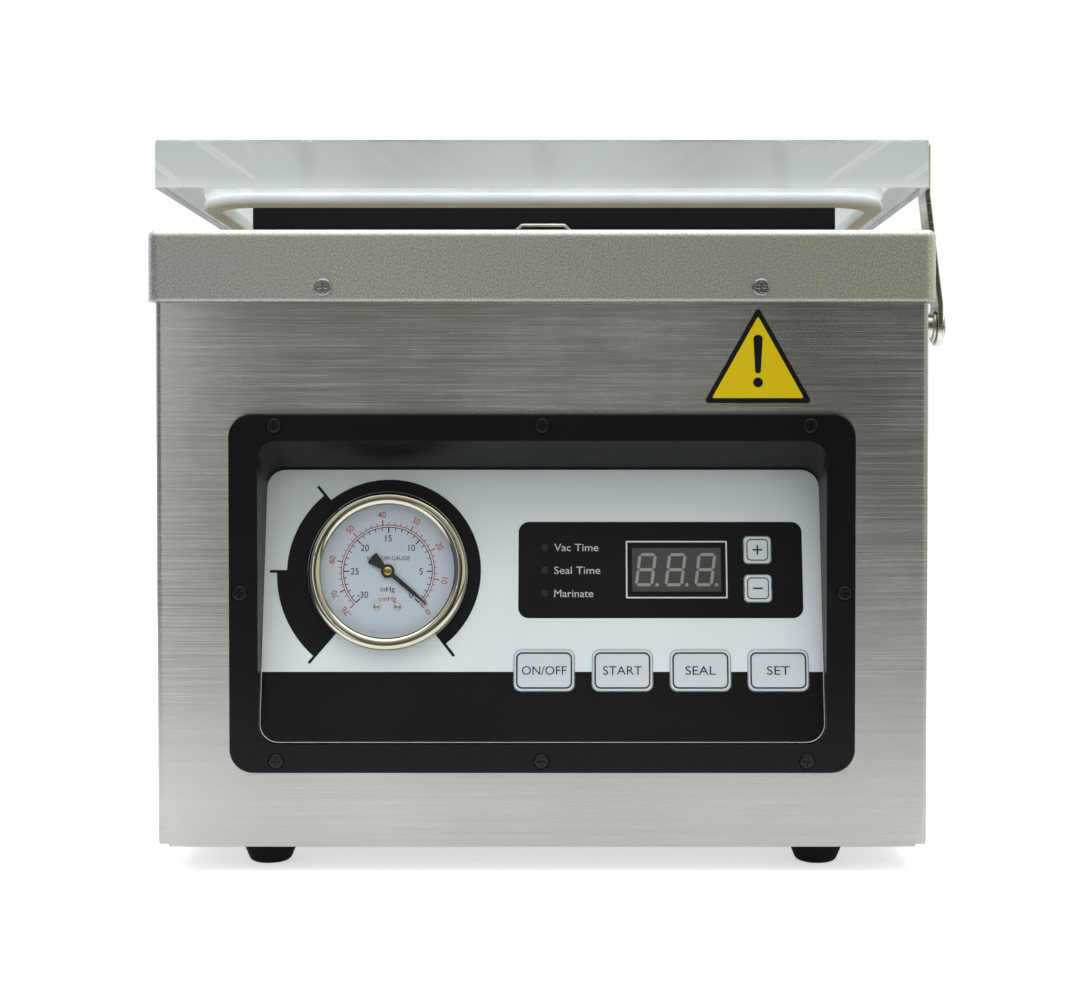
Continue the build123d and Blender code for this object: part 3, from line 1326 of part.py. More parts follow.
# lid switch under the deck with its plunger through the deck
with BuildPart() as lid_switch:
    with BuildSketch(Plane.XY.offset(DECK_UNDER - 27.0)):
        with Locations(SWITCH_AT):
            Rectangle(8.0, 28.0)
    extrude(amount=27.0)
    with BuildSketch(Plane.XY.offset(DECK_UNDER - 12.0)):
        with Locations(SWITCH_AT):
            Circle(2.0 + RUN_CLEAR)
    extrude(amount=12.0, mode=Mode.SUBTRACT)
save("lid_switch", lid_switch)
PLUNGER_TOP = RIM_TOP + GASKET_H - 0.1
with BuildPart() as switch_plunger:
    with BuildSketch(Plane.XY.offset(DECK_UNDER - 9.5)):
        with Locations(SWITCH_AT):
            Circle(2.0)
    extrude(amount=PLUNGER_TOP - DECK_UNDER + 9.5)
    fillet(switch_plunger.faces().sort_by(Axis.Z)[-1].edges(), 1.2)
save("switch_plunger", switch_plunger)


# --- hoses ---------------------------------------------------------------------------
def hose(route, radius, bore, bend):
    """Tube along straight runs joined by tangent bends."""
    with BuildPart() as tube:
        with BuildLine() as path:
            FilletPolyline(*route, radius=bend)
        start = Plane(origin=path.line @ 0, z_dir=path.line % 0)
        with BuildSketch(start):
            Circle(radius)
            Circle(bore, mode=Mode.SUBTRACT)
        sweep(path=path.line)
    return tube


PORT_END = CHAMBER_BACK + RIM_T + 22.0
vacuum_hose = hose(
    [
        (0, PORT_END - 12.0, PORT_Z), (0, PORT_END + 14.0, PORT_Z), (0, PORT_END + 14.0, 182.0),
        (MOTOR_X1 + 22.0, 150.0, 182.0), (MOTOR_X1 + 22.0, PUMP_Y + 22.0, 176.0),
        (MOTOR_X1 + 22.0, PUMP_Y + 22.0, PUMP_Z + 57.0),
    ],
    8.0, 6.0, 13.0,
)
save("vacuum_hose", vacuum_hose)
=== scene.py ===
"""Tabletop chamber vacuum sealer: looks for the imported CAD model.  Metres, +Z up, front towards -Y."""

import json

import bmesh
import bpy
from math import cos, pi, radians, sin, tau
from mathutils import Matrix, Vector


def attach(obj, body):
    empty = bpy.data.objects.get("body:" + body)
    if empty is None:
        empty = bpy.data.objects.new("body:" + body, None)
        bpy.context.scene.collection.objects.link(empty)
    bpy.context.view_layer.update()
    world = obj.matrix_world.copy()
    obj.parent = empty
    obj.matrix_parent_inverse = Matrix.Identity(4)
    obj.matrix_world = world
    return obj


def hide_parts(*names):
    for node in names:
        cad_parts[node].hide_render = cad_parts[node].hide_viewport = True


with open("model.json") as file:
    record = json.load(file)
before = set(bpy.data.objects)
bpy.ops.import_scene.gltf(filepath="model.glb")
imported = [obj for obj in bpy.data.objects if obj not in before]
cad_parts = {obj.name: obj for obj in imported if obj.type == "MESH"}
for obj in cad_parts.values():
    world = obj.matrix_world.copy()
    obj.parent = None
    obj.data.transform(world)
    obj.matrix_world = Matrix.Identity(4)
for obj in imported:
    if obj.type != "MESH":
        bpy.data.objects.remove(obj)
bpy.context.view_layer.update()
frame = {"nodes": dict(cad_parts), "record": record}
nodes = frame["nodes"]
scene = bpy.context.scene

MM = 0.001
INK = 0.05  # mm, thickness of printed ink
INK_LIFT = 0.01  # mm, gap under the ink


# --- working planes, in millimetres ---------------------------------------------------------------
def plane(origin, x_dir, z_dir):
    """Matrix from a plane's own millimetres to the frame's metres."""
    x = Vector(x_dir).normalized()
    z = Vector(z_dir).normalized()
    turn = Matrix((x, z.cross(x), z)).transposed().to_4x4()
    return Matrix.Translation(Vector(origin) * MM) @ turn @ Matrix.Scale(MM, 4)


TILT = radians(11.5)  # the panel leans back
AJAR = radians(1.45)  # the lid rests this far above shut
HINGE_X, HINGE_Y, HINGE_Z = 88.0, 226.0, 290.0  # middle of each hinge, either side of the machine
PANEL = plane((0, -238.0, 54.9), (1, 0, 0), (0, -cos(TILT), sin(TILT)))  # origin: middle of its lower edge
GAUGE = PANEL @ Matrix.Translation((-66.1, 72.2, 0))
FRONT = plane((0, -237.5, 0), (1, 0, 0), (0, -1, 0))
LID = plane((0, HINGE_Y, HINGE_Z), (1, 0, 0), (0, sin(AJAR), cos(AJAR)))


# --- node materials -------------------------------------------------------------------------------
def srgb(r, g, b):
    """Linear colour from a screen colour of 0 to 255."""
    def one(v):
        v /= 255
        return v / 12.92 if v <= 0.04045 else ((v + 0.055) / 1.055) ** 2.4
    return (one(r), one(g), one(b), 1.0)


class Graph:
    """One node tree, with short ways to add nodes."""

    def __init__(self, tree):
        self.tree = tree

    def add(self, kind, inputs=None, **settings):
        """New node; an input that is a socket is linked, any other is a constant."""
        made = self.tree.nodes.new(kind)
        for key, value in settings.items():
            setattr(made, key, value)
        for key, value in (inputs or {}).items():
            if isinstance(value, bpy.types.NodeSocket):
                self.tree.links.new(value, made.inputs[key])
            else:
                made.inputs[key].default_value = value
        return made

    def math(self, operation, *values):
        return self.add("ShaderNodeMath", dict(enumerate(values)), operation=operation).outputs[0]

    def mix(self, fac, a, b):
        """Colour a where fac is 0, b where it is 1."""
        return self.add("ShaderNodeMix", {0: fac, 6: a, 7: b}, data_type="RGBA").outputs[2]

    def step(self, value, start, end):
        """Smooth step from 0 at start to 1 at end."""
        return self.add("ShaderNodeMapRange", {"Value": value, "From Min": start, "From Max": end},
                        interpolation_type="SMOOTHSTEP").outputs[0]


class Shader(Graph):
    """One node material around a Principled shader."""

    def __init__(self, name):
        self.material = bpy.data.materials.new(name)
        self.material.use_nodes = True
        super().__init__(self.material.node_tree)
        self.main = self.tree.nodes["Principled BSDF"]
        self.output = self.tree.nodes["Material Output"]
        self.place = self.add("ShaderNodeTexCoord").outputs["Object"]

    def set(self, values):
        """Constants on the shader's own sockets."""
        for key, value in values.items():
            self.main.inputs[key].default_value = value

    def join(self, key, socket):
        self.tree.links.new(socket, self.main.inputs[key])

    def stretched(self, scale):
        return self.add("ShaderNodeMapping", {"Vector": self.place, "Scale": scale}).outputs[0]

    def noise(self, scale, detail=3.0, rough=0.55, distortion=0.0):
        """Noise in cells per metre along x, y and z."""
        return self.add(
            "ShaderNodeTexNoise",
            {"Vector": self.stretched(scale), "Scale": 1.0, "Detail": detail,
             "Roughness": rough, "Distortion": distortion},
        ).outputs["Fac"]

    def cells(self, scale):
        """Distance from the middle of round grains, in cells per metre along x, y and z."""
        return self.add(
            "ShaderNodeTexVoronoi", {"Vector": self.stretched(scale), "Scale": 1.0}, feature="F1",
        ).outputs["Distance"]

    def lid_height(self):
        """Height over the hinge line, square to the lid, in metres."""
        lifted = self.add("ShaderNodeVectorMath", {0: self.place, 1: tuple(-LID.translation)}).outputs[0]
        square = tuple(LID.to_3x3().col[2].normalized())
        along = self.add("ShaderNodeVectorMath", {0: lifted, 1: square}, operation="DOT_PRODUCT")
        return along.outputs["Value"]

    def ramp(self, fac, low, high, start=0.3, end=0.7):
        """fac from start to end becomes low to high."""
        return self.add(
            "ShaderNodeMapRange",
            {"Value": fac, "From Min": start, "From Max": end, "To Min": low, "To Max": high},
        ).outputs[0]

    def soft_edge(self, radius):
        """Normals that turn smoothly over sharp edges, as worn and folded edges do."""
        return self.add("ShaderNodeBevel", {"Radius": radius}, samples=4).outputs[0]

    def bump(self, height, distance, strength=1.0, after=None):
        """Bump whose full height is distance metres."""
        inputs = {"Height": height, "Distance": distance, "Strength": strength}
        if after is not None:
            inputs["Normal"] = after
        return self.add("ShaderNodeBump", inputs).outputs[0]

    def surface(self, shader):
        """Puts a shader of its own in place of the Principled one."""
        self.tree.links.new(shader.outputs[0], self.output.inputs["Surface"])


def shade(colour, factor):
    return (colour[0] * factor, colour[1] * factor, colour[2] * factor, 1.0)


def painted(name, colour, rough, grain=900.0, depth=0.00002, metal=0.0, vary=0.12, coat=0.0, shine=0.5,
            edge=0.0):
    """Paint, plastic or bare metal: fine grain, slow colour drift and uneven gloss."""
    s = Shader(name)
    drift = s.noise((14.0,) * 3, 4.0)
    fine = s.noise((grain,) * 3, 2.0)
    s.join("Base Color", s.mix(s.ramp(drift, 0.0, 1.0), shade(colour, 1 - vary), shade(colour, 1 + vary)))
    s.join("Roughness", s.ramp(drift, rough * 0.85, min(1.0, rough * 1.15)))
    s.join("Normal", s.bump(fine, depth, after=s.soft_edge(edge) if edge else None))
    s.set({"Metallic": metal, "Coat Weight": coat, "Specular IOR Level": shine})
    if coat:
        s.set({"Coat Roughness": 0.12})
    return s.material


def brushed(name, colour, rough=0.21, fine=2600.0, along=16.0, aniso=1.0):
    """Sheet brushed along its width: long fine streaks, stretched glow, light handling marks."""
    s = Shader(name)
    streak = s.noise((along, along, fine), 4.0, 0.7)
    band = s.noise((3.0, 3.0, fine / 9), 3.0, 0.6)
    smudge = s.noise((9.0, 9.0, 6.0), 4.0, 0.6)
    tone = s.mix(s.ramp(streak, 0.0, 1.0, 0.25, 0.75), shade(colour, 0.9), shade(colour, 1.08))
    tone = s.mix(s.ramp(band, 0.0, 0.4), tone, shade(colour, 0.86))
    s.join("Base Color", tone)
    wear = s.ramp(smudge, -0.03, 0.04)
    grit = s.ramp(streak, rough - 0.05, rough + 0.08)
    s.join("Roughness", s.math("ADD", grit, wear))
    s.join("Normal", s.bump(streak, 0.000003, 0.5, s.soft_edge(0.0007)))
    s.set({"Metallic": 1.0, "Anisotropic": aniso, "Anisotropic Rotation": 0.25})
    s.join("Tangent", s.add("ShaderNodeTangent", direction_type="RADIAL", axis="Z").outputs[0])
    return s.material


def blasted(name, colour, rough=0.42):
    """Bead-blasted stainless: small bright and dark grains, rounded edges polished by handling."""
    s = Shader(name)
    grains = s.cells((1700.0,) * 3)
    speckle = s.noise((1500.0,) * 3, 2.0, 0.7)
    cloud = s.noise((10.0,) * 3, 3.0)
    tone = s.mix(s.ramp(speckle, 0.0, 1.0, 0.36, 0.64), shade(colour, 0.68), shade(colour, 1.32))
    tone = s.mix(s.ramp(cloud, 0.0, 0.35), tone, shade(colour, 0.88))
    s.join("Base Color", tone)
    s.join("Roughness", s.ramp(speckle, rough - 0.07, rough + 0.1))
    coarse = s.bump(grains, 0.00003, 0.4, s.soft_edge(0.0022))
    s.join("Normal", s.bump(speckle, 0.000025, 0.4, coarse))
    s.set({"Metallic": 1.0})
    return s.material


def rubber(name, colour, rough=0.75):
    """Dull rubber with a trace of dust."""
    s = Shader(name)
    fine = s.noise((1700.0,) * 3, 3.0)
    dust = s.noise((55.0,) * 3, 5.0, 0.65)
    s.join("Base Color", s.mix(s.ramp(dust, 0.0, 0.5, 0.5, 0.8), colour, shade(colour, 2.1)))
    s.join("Roughness", s.ramp(dust, rough - 0.08, rough + 0.1))
    s.join("Normal", s.bump(fine, 0.00004, 0.5))
    s.set({"Specular IOR Level": 0.2})
    return s.material


def acrylic(name):
    """Thick clear sheet with a faint grey-blue body, fine handling scratches, and light let through; its sawn
    edges carry painted reflection streaks and a painted paler bottom.
    """
    s = Shader(name)
    s.set({"IOR": 1.49})
    haze = s.noise((7.0, 7.0, 7.0), 4.0, 0.6)
    scratch = s.noise((220.0, 9.0, 220.0), 2.0, 0.5, 0.6)
    face = s.ramp(s.math("MULTIPLY", haze, scratch), 0.015, 0.11, 0.15, 0.45)
    sawn = s.ramp(haze, 0.42, 0.55)
    normal = s.add("ShaderNodeSeparateXYZ", {0: s.add("ShaderNodeNewGeometry").outputs["True Normal"]})
    side = s.ramp(s.math("ABSOLUTE", normal.outputs[2]), 1.0, 0.0, 0.4, 0.5)  # 1 on the four sawn edges
    s.join("Roughness", s.add("ShaderNodeMix", {0: side, 2: face, 3: sawn}).outputs[0])
    # painted reflections: slanting streaks inside the polished ends, where the side walls mirror each other
    at = s.add("ShaderNodeSeparateXYZ", {0: s.place}).outputs
    out = s.math("ABSOLUTE", at[0])
    slant = s.math("MULTIPLY_ADD", out, -0.77, at[2])
    lines = s.add("ShaderNodeCombineXYZ", {0: slant, 1: out, 2: at[1]}).outputs[0]
    lines = s.add("ShaderNodeMapping", {"Vector": lines, "Scale": (95.0, 9.0, 2.0)}).outputs[0]
    painted_reflection_and_glow = s.add("ShaderNodeTexNoise", {"Vector": lines, "Scale": 1.0, "Detail": 3.0, "Distortion": 0.7})
    painted_reflection_and_glow = s.ramp(painted_reflection_and_glow.outputs["Fac"], 0.0, 1.0, 0.53, 0.6)
    painted_reflection_and_glow = s.math("MULTIPLY", painted_reflection_and_glow, s.ramp(out, 0.1, 0.9, 0.05, 0.13))
    # painted light: paler along the bottom, where the edge gathers light from the gasket
    painted_reflection_and_glow = s.math("MAXIMUM", painted_reflection_and_glow, s.ramp(s.lid_height(), 1.0, 0.0, -0.0142, -0.0085))
    # sawn-edge colour, holding the painted reflection streaks and the painted light along the bottom
    edge = s.mix(painted_reflection_and_glow, (0.7, 0.755, 0.775, 1.0), (0.9, 0.955, 0.98, 1.0))
    s.join("Base Color", s.mix(side, (0.93, 0.96, 0.965, 1.0), edge))
    s.join("Transmission Weight", s.ramp(side, 1.0, 0.55, 0.0, 1.0))
    wave = s.noise((26.0, 26.0, 26.0), 2.0)
    s.join("Normal", s.bump(wave, 0.0002, 0.15))
    clear = s.add("ShaderNodeBsdfTransparent", {"Color": (0.86, 0.9, 0.91, 1.0)})
    shadow = s.add("ShaderNodeLightPath").outputs["Is Shadow Ray"]
    s.surface(s.add("ShaderNodeMixShader", {0: shadow, 1: s.main.outputs[0], 2: clear.outputs[0]}))
    return s.material


def window_glass(name):
    """Thin clear pane: mostly see-through, with a mirror's share that grows at a slant."""
    s = Shader(name)
    smear = s.noise((120.0, 120.0, 120.0), 3.0)
    clear = s.add("ShaderNodeBsdfTransparent", {"Color": (0.965, 0.975, 0.985, 1.0)})
    gloss = s.add("ShaderNodeBsdfGlossy", {"Roughness": s.ramp(smear, 0.01, 0.05)})
    slant = s.add("ShaderNodeLayerWeight", {"Blend": 0.5}).outputs["Facing"]
    share = s.ramp(s.math("POWER", slant, 5.0), 0.035, 1.0, 0.0, 1.0)
    s.surface(s.add("ShaderNodeMixShader", {0: share, 1: clear.outputs[0], 2: gloss.outputs[0]}))
    return s.material


def silicone(name):
    """White rubber that lets a little light in, with a darker warm tan band along its lower edge."""
    s = Shader(name)
    cloud = s.noise((35.0,) * 3, 3.0)
    fine = s.noise((1500.0,) * 3, 2.0)
    pale = s.mix(s.ramp(cloud, 0.0, 1.0), (0.59, 0.61, 0.605, 1), (0.65, 0.67, 0.665, 1))
    # darker warm tan band along the lower edge
    tan_lower_band = s.ramp(s.lid_height(), 1.0, 0.0, -0.0192, -0.018)
    s.join("Base Color", s.mix(tan_lower_band, pale, (0.56, 0.5, 0.38, 1)))
    s.join("Roughness", s.ramp(cloud, 0.45, 0.6))
    s.join("Normal", s.bump(fine, 0.00003, 0.4))
    s.set({"Specular IOR Level": 0.25, "Subsurface Weight": 0.35, "Subsurface Scale": 0.004,
           "Subsurface Radius": (1.0, 0.95, 0.85)})
    return s.material


def woven(name, colour, pitch=0.0007):
    """Plain-woven tape with a waxy coat."""
    s = Shader(name)
    waves = {"Vector": s.place, "Scale": tau / pitch / 20}  # a wave texture has 20 / tau bands per unit
    warp, weft = (s.add("ShaderNodeTexWave", waves, bands_direction=d).outputs["Fac"] for d in "XY")
    cloth = s.math("MULTIPLY", warp, weft)
    s.join("Base Color", s.mix(s.ramp(cloth, 0.0, 1.0, 0.0, 1.0), shade(colour, 0.7), shade(colour, 1.2)))
    s.join("Roughness", s.ramp(cloth, 0.3, 0.5, 0.0, 1.0))
    s.join("Normal", s.bump(cloth, 0.00008, 0.6))
    return s.material


STEEL = (0.54, 0.54, 0.53, 1.0)
finish = {
    "brushed_sheet": brushed("brushed_stainless", STEEL),
    "satin_deck": blasted("blasted_stainless", (0.68, 0.675, 0.64, 1.0)),
    "clear_acrylic": acrylic("clear_acrylic"),
    "gauge_glass": window_glass("gauge_glass"),
    "white_silicone": silicone("white_silicone"),
    "black_bar": painted("black_anodised", (0.006, 0.007, 0.008, 1), 0.3, 700.0, 0.00001, shine=0.2),
    "pad_rubber": rubber("pad_rubber", (0.06, 0.06, 0.06, 1)),
    "black_frame": painted("moulded_black", (0.004, 0.0046, 0.0062, 1), 0.34, 1500.0, 0.000012,
                           shine=0.16, edge=0.0006),
    "printed_panel": painted("overlay_pale", srgb(209, 219, 227), 0.38, 1900.0, 0.000008, vary=0.02),
    "white_keys": painted("key_white", srgb(194, 203, 211), 0.34, 1900.0, 0.000008, vary=0.02),
    "display_face": painted("display_grey", srgb(66, 68, 67), 0.22, 1500.0, 0.000006, coat=0.5),
    "lamp_lens": painted("lamp_unlit", srgb(34, 46, 40), 0.25, 1200.0, 0.00001, shine=0.3),
    "steel_screws": brushed("screw_steel", (0.4, 0.4, 0.42, 1), 0.28, 1800.0, 900.0, aniso=0.0),
    "black_screws": painted("screw_black", (0.006, 0.006, 0.007, 1), 0.3, 1200.0, 0.00002, shine=0.3),
    "polished_ring": painted("polished_ring", (0.6, 0.565, 0.47, 1), 0.07, 500.0, 0.000002, 1.0, 0.05),
    "dial_face": painted("dial_face", srgb(204, 212, 223), 0.45, 1500.0, 0.000005, vary=0.03),
    "black_needle": painted("needle_black", (0.012, 0.012, 0.014, 1), 0.45, 1500.0, 0.00001),
    "gauge_body": painted("gauge_black", (0.03, 0.03, 0.03, 1), 0.5, 500.0, 0.00003),
    "foot_rubber": rubber("foot_rubber", (0.002, 0.002, 0.0022, 1)),
    "bright_steel": brushed("bright_steel", (0.68, 0.66, 0.6, 1), 0.2, 1500.0, 60.0, aniso=0.0),
    "spring_wire": painted("spring_wire", (0.6, 0.6, 0.6, 1), 0.22, 1500.0, 0.00001, 1.0),
    "milled_aluminium": brushed("milled_aluminium", (0.78, 0.78, 0.79, 1), 0.3, 1400.0, 120.0, aniso=0.0),
    "brown_tape": woven("woven_tape", (0.3, 0.17, 0.075, 1)),
    "resistance_wire": painted("resistance_wire", (0.4, 0.37, 0.35, 1), 0.35, 900.0, 0.00001, 1.0),
    "brass_fittings": painted("turned_brass", (0.72, 0.52, 0.22, 1), 0.24, 900.0, 0.00001, 1.0),
    "white_board": painted("white_board", (0.6, 0.6, 0.58, 1), 0.42, 600.0, 0.00003, vary=0.04),
    "grey_paint": painted("hammered_grey", (0.06, 0.065, 0.072, 1), 0.42, 260.0, 0.00012),
    "rotor_steel": painted("bare_steel", (0.22, 0.22, 0.23, 1), 0.45, 400.0, 0.00005, 1.0),
    "black_plastic": painted("moulded_plastic", (0.018, 0.018, 0.019, 1), 0.45, 800.0, 0.00003),
    "mount_rubber": rubber("mount_rubber", (0.022, 0.022, 0.022, 1)),
    "circuit_green": painted("board_lacquer", (0.02, 0.13, 0.06, 1), 0.3, 500.0, 0.00002),
    "red_plastic": painted("red_plastic", (0.5, 0.03, 0.025, 1), 0.35, 700.0, 0.00002),
    "yellow_label": painted("label_black", srgb(14, 15, 17), 0.4, 1200.0, 0.00001, shine=0.25),
}
ink_black = painted("ink_black", (0.0055, 0.007, 0.0085, 1), 0.36, 1900.0, 0.000006, shine=0.2)
ink_navy = painted("ink_navy", srgb(30, 38, 56), 0.4, 1900.0, 0.000006)
ink_pale = painted("ink_pale", srgb(176, 182, 182), 0.4, 1900.0, 0.000006)
ink_white = painted("ink_white", srgb(205, 208, 206), 0.4, 1900.0, 0.000006)
ink_red = painted("ink_red", srgb(182, 42, 56), 0.45, 1900.0, 0.000006)
ink_dial = painted("ink_dial", srgb(34, 36, 42), 0.45, 1900.0, 0.000006)
segment = painted("segment_unlit", srgb(138, 140, 133), 0.35, 1500.0, 0.000006)
label_yellow = painted("label_film", srgb(212, 186, 4), 0.34, 1500.0, 0.000008, vary=0.03, coat=0.2)
brass = finish["brass_fittings"]
slot_of = {m["slot"]: finish[m["slot"]] for m in frame["record"]["materials"]}
for name, made in nodes.items():
    for place in made.material_slots:
        place.material = slot_of[place.material.name.split(".")[0]]


# --- flat outlines, in millimetres ----------------------------------------------------------------
def rounded(cx, cy, w, h, r, steps=7):
    """Rounded rectangle, anticlockwise."""
    points = []
    for sx, sy, start in ((1, 1, 0), (-1, 1, 90), (-1, -1, 180), (1, -1, 270)):
        ox = cx + sx * (w / 2 - r)
        oy = cy + sy * (h / 2 - r)
        for i in range(steps + 1):
            a = radians(start + 90 * i / steps)
            points.append((ox + r * cos(a), oy + r * sin(a)))
    return points


def polar(r, degrees):
    a = radians(degrees)
    return (r * cos(a), r * sin(a))


def sector(r0, r1, a0, a1):
    """Band between two radii from angle a0 to a1, in degrees."""
    steps = max(2, int(abs(a1 - a0) / 2.5))
    angles = [a0 + (a1 - a0) * i / steps for i in range(steps + 1)]
    return [polar(r1, a) for a in angles] + [polar(r0, a) for a in reversed(angles)]


def disc(cx, cy, r, steps=32):
    return [(cx + r * cos(tau * i / steps), cy + r * sin(tau * i / steps)) for i in range(steps)]


def bar(p, q, width):
    """Straight stroke from p to q."""
    run = Vector(q) - Vector(p)
    side = Vector((-run.y, run.x)).normalized() * width / 2
    p, q = Vector(p), Vector(q)
    return [tuple(corner) for corner in (p + side, p - side, q - side, q + side)]


def piece(name, mesh, material, body, smooth=None):
    """Puts a mesh in the scene as a piece that rides on a body; edges under smooth degrees are rounded."""
    made = bpy.data.objects.new(name, mesh)
    scene.collection.objects.link(made)
    mesh.materials.clear()
    mesh.materials.append(material)
    if smooth is not None:
        mesh.shade_smooth()
        mesh.set_sharp_from_angle(angle=radians(smooth))
    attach(made, body)
    return made


def curve_to_bmesh(curve, target, matrix):
    """Adds a filled curve's mesh to target."""
    holder = bpy.data.objects.new("holder", curve)
    scene.collection.objects.link(holder)
    bpy.context.view_layer.update()
    mesh = bpy.data.meshes.new_from_object(holder.evaluated_get(bpy.context.evaluated_depsgraph_get()))
    mesh.transform(matrix)
    target.from_mesh(mesh)
    bpy.data.objects.remove(holder)
    bpy.data.meshes.remove(mesh)
    bpy.data.curves.remove(curve)


def span(curve, axis):
    """Least and greatest coordinate of a text curve along an axis."""
    holder = bpy.data.objects.new("holder", curve)
    scene.collection.objects.link(holder)
    bpy.context.view_layer.update()
    along = [corner[axis] for corner in holder.bound_box]
    bpy.data.objects.remove(holder)
    return min(along), max(along)


def cap_share():
    """Height of a capital letter over the font size."""
    curve = bpy.data.curves.new("letter", "FONT")
    curve.body = "H"
    low, high = span(curve, 1)
    bpy.data.curves.remove(curve)
    return high - low


CAP_SHARE = cap_share()
NARROW = 0.92  # letters without a stated width are drawn a little narrow


class Print:
    """Thin shapes and letters on one plane, gathered into one piece."""

    def __init__(self, base, height=0.0):
        self.middle = base @ Matrix.Translation((0, 0, height + INK_LIFT + INK / 2))
        self.mesh = bmesh.new()

    def shape(self, *outlines):
        """Filled outlines; one inside another is a hole."""
        curve = bpy.data.curves.new("outline", "CURVE")
        curve.dimensions = "2D"
        curve.fill_mode = "BOTH"
        curve.extrude = INK / 2
        for outline in outlines:
            spline = curve.splines.new("POLY")
            spline.points.add(len(outline) - 1)
            spline.use_cyclic_u = True
            for point, (x, y) in zip(spline.points, outline):
                point.co = (x, y, 0, 1)
        curve_to_bmesh(curve, self.mesh, self.middle)

    def text(self, words, cap, at, width=None, align="CENTER", angle=0.0):
        """Words whose capitals are cap high; width sets their whole length."""
        curve = bpy.data.curves.new("words", "FONT")
        curve.body = words
        curve.size = cap / CAP_SHARE
        curve.extrude = INK / 2
        curve.resolution_u = 4
        left, right = span(curve, 0)
        stretch = width / (right - left) if width else NARROW
        shift = {"CENTER": -(left + right) / 2, "LEFT": -left}[align]
        local = (
            Matrix.Translation((at[0], at[1], 0)) @ Matrix.Rotation(radians(angle), 4, "Z")
            @ Matrix.Diagonal((stretch, 1, 1, 1)) @ Matrix.Translation((shift, -cap / 2, 0))
        )
        curve_to_bmesh(curve, self.mesh, self.middle @ local)

    def done(self, name, material, body):
        """Closes the piece."""
        bmesh.ops.remove_doubles(self.mesh, verts=self.mesh.verts, dist=1e-7)
        mesh = bpy.data.meshes.new(name)
        self.mesh.to_mesh(mesh)
        self.mesh.free()
        return piece(name, mesh, material, body)


# --- printed overlay: (x, height) on the panel ----------------------------------------------------
BAND_TOP = 29.6  # the black band's upper edge
BAND_H = 119.2  # the whole overlay's height, of which the band has the lower corners
BAND_R = 7.8
HALF_W = 118.6
KEY_ROW = 30.15
KEY_W, KEY_H, KEY_R = 25.4, 17.2, 2.9
KEYS = {"on_off": (0.7, "ON/OFF", 18.8), "start": (33.8, "START", 16.4),
        "seal": (66.8, "SEAL", 12.8), "set": (99.7, "SET", 9.7)}
SMALL_KEYS = {"plus": (91.8, 81.4), "minus": (91.8, 64.9)}
DISPLAY_AT = (57.2, 73.0)
LAMPS = {"Vac Time": (82.5, 18.9), "Seal Time": (72.7, 19.7), "Marinate": (62.8, 16.7)}

below = [p for p in rounded(0, 60, 2 * HALF_W, BAND_H, BAND_R) if p[1] < BAND_TOP]
band = [(-HALF_W, BAND_TOP)] + [p for p in below if p[0] < 0] + [p for p in below if p[0] > 0]
band.append((HALF_W, BAND_TOP))
MARGIN = 0.3  # bare panel around each key
for x, words, width in sorted(KEYS.values(), reverse=True):
    notch = rounded(x, KEY_ROW, KEY_W + 2 * MARGIN, KEY_H + 2 * MARGIN, KEY_R + MARGIN)
    notch = [p for p in notch if p[1] < BAND_TOP]
    right = sorted([p for p in notch if p[0] > x], key=lambda p: -p[1])
    left = sorted([p for p in notch if p[0] <= x], key=lambda p: p[1])
    edge = KEY_W / 2 + MARGIN
    band += [(x + edge, BAND_TOP)] + right + left + [(x - edge, BAND_TOP)]
overlay = Print(PANEL)
overlay.shape(band)
overlay.shape(
    rounded(50.3, 72.9, 121.4, 41.3, 4.5),
    rounded(*DISPLAY_AT, 38.2, 19.0, 0.2, 2),
    *[rounded(*at, 12.0, 12.0, 1.9) for at in SMALL_KEYS.values()],
    *[disc(0.9, v, 1.54) for v, width in LAMPS.values()],
)
overlay.done("overlay_black", ink_black, "base")

RING_R = 34.05  # just outside the gauge's ring
arcs = Print(GAUGE)
for r1, a0, a1 in ((39.7, -51.4, 129.2), (43.2, 130.8, 180.0), (47.5, 180.0, 229.7)):
    arcs.shape(sector(RING_R, r1, a0, a1))
arcs.done("overlay_gauge_arc", ink_black, "base")
ticks = Print(GAUGE, INK)
for angle, r0, r1 in ((-51.5, RING_R, 46.0), (130.0, RING_R, 48.0), (180.0, 41.0, 50.5), (229.8, RING_R, 51.0)):
    ticks.shape(bar(polar(r0, angle), polar(r1, angle), 1.15))
ticks.done("overlay_gauge_ticks", ink_black, "base")

marks = Print(PANEL, INK)
marks.shape(rounded(*DISPLAY_AT, 43.3, 24.6, 0.4, 2), rounded(*DISPLAY_AT, 42.1, 23.4, 0.2, 2))
marks.done("overlay_display_line", ink_white, "base")
lettering = Print(PANEL, INK)
for words, (v, width) in LAMPS.items():
    lettering.text(words, 3.1, (4.9, v), width, "LEFT")
lettering.done("overlay_lamp_words", ink_pale, "base")

KEY_TOP = 0.8  # key face above the panel
for name, (x, words, width) in KEYS.items():
    legend = Print(PANEL, KEY_TOP)
    legend.shape(rounded(x, KEY_ROW, 23.7, 15.3, 2.6), rounded(x, KEY_ROW, 22.4, 14.0, 2.0))
    legend.text(words, 3.55, (x, KEY_ROW), width)
    legend.done("key_print_" + name, ink_navy, "button_" + name)
for name, (x, v) in SMALL_KEYS.items():
    legend = Print(PANEL, KEY_TOP)
    legend.shape(rounded(x, v, 9.3, 9.3, 1.9), rounded(x, v, 8.4, 8.4, 1.5))
    arm, w = 2.1, 0.36  # the sign's reach and half its stroke
    if name == "plus":
        quarter = [(-w, -w), (-w, -arm), (w, -arm)]
        turns = ((1, 0), (0, 1), (-1, 0), (0, -1))
        legend.shape([(x + c * px - n * py, v + n * px + c * py) for c, n in turns for px, py in quarter])
    else:
        legend.shape(bar((x - arm, v), (x + arm, v), 2 * w))
    legend.done("key_print_" + name, ink_navy, "button_" + name)

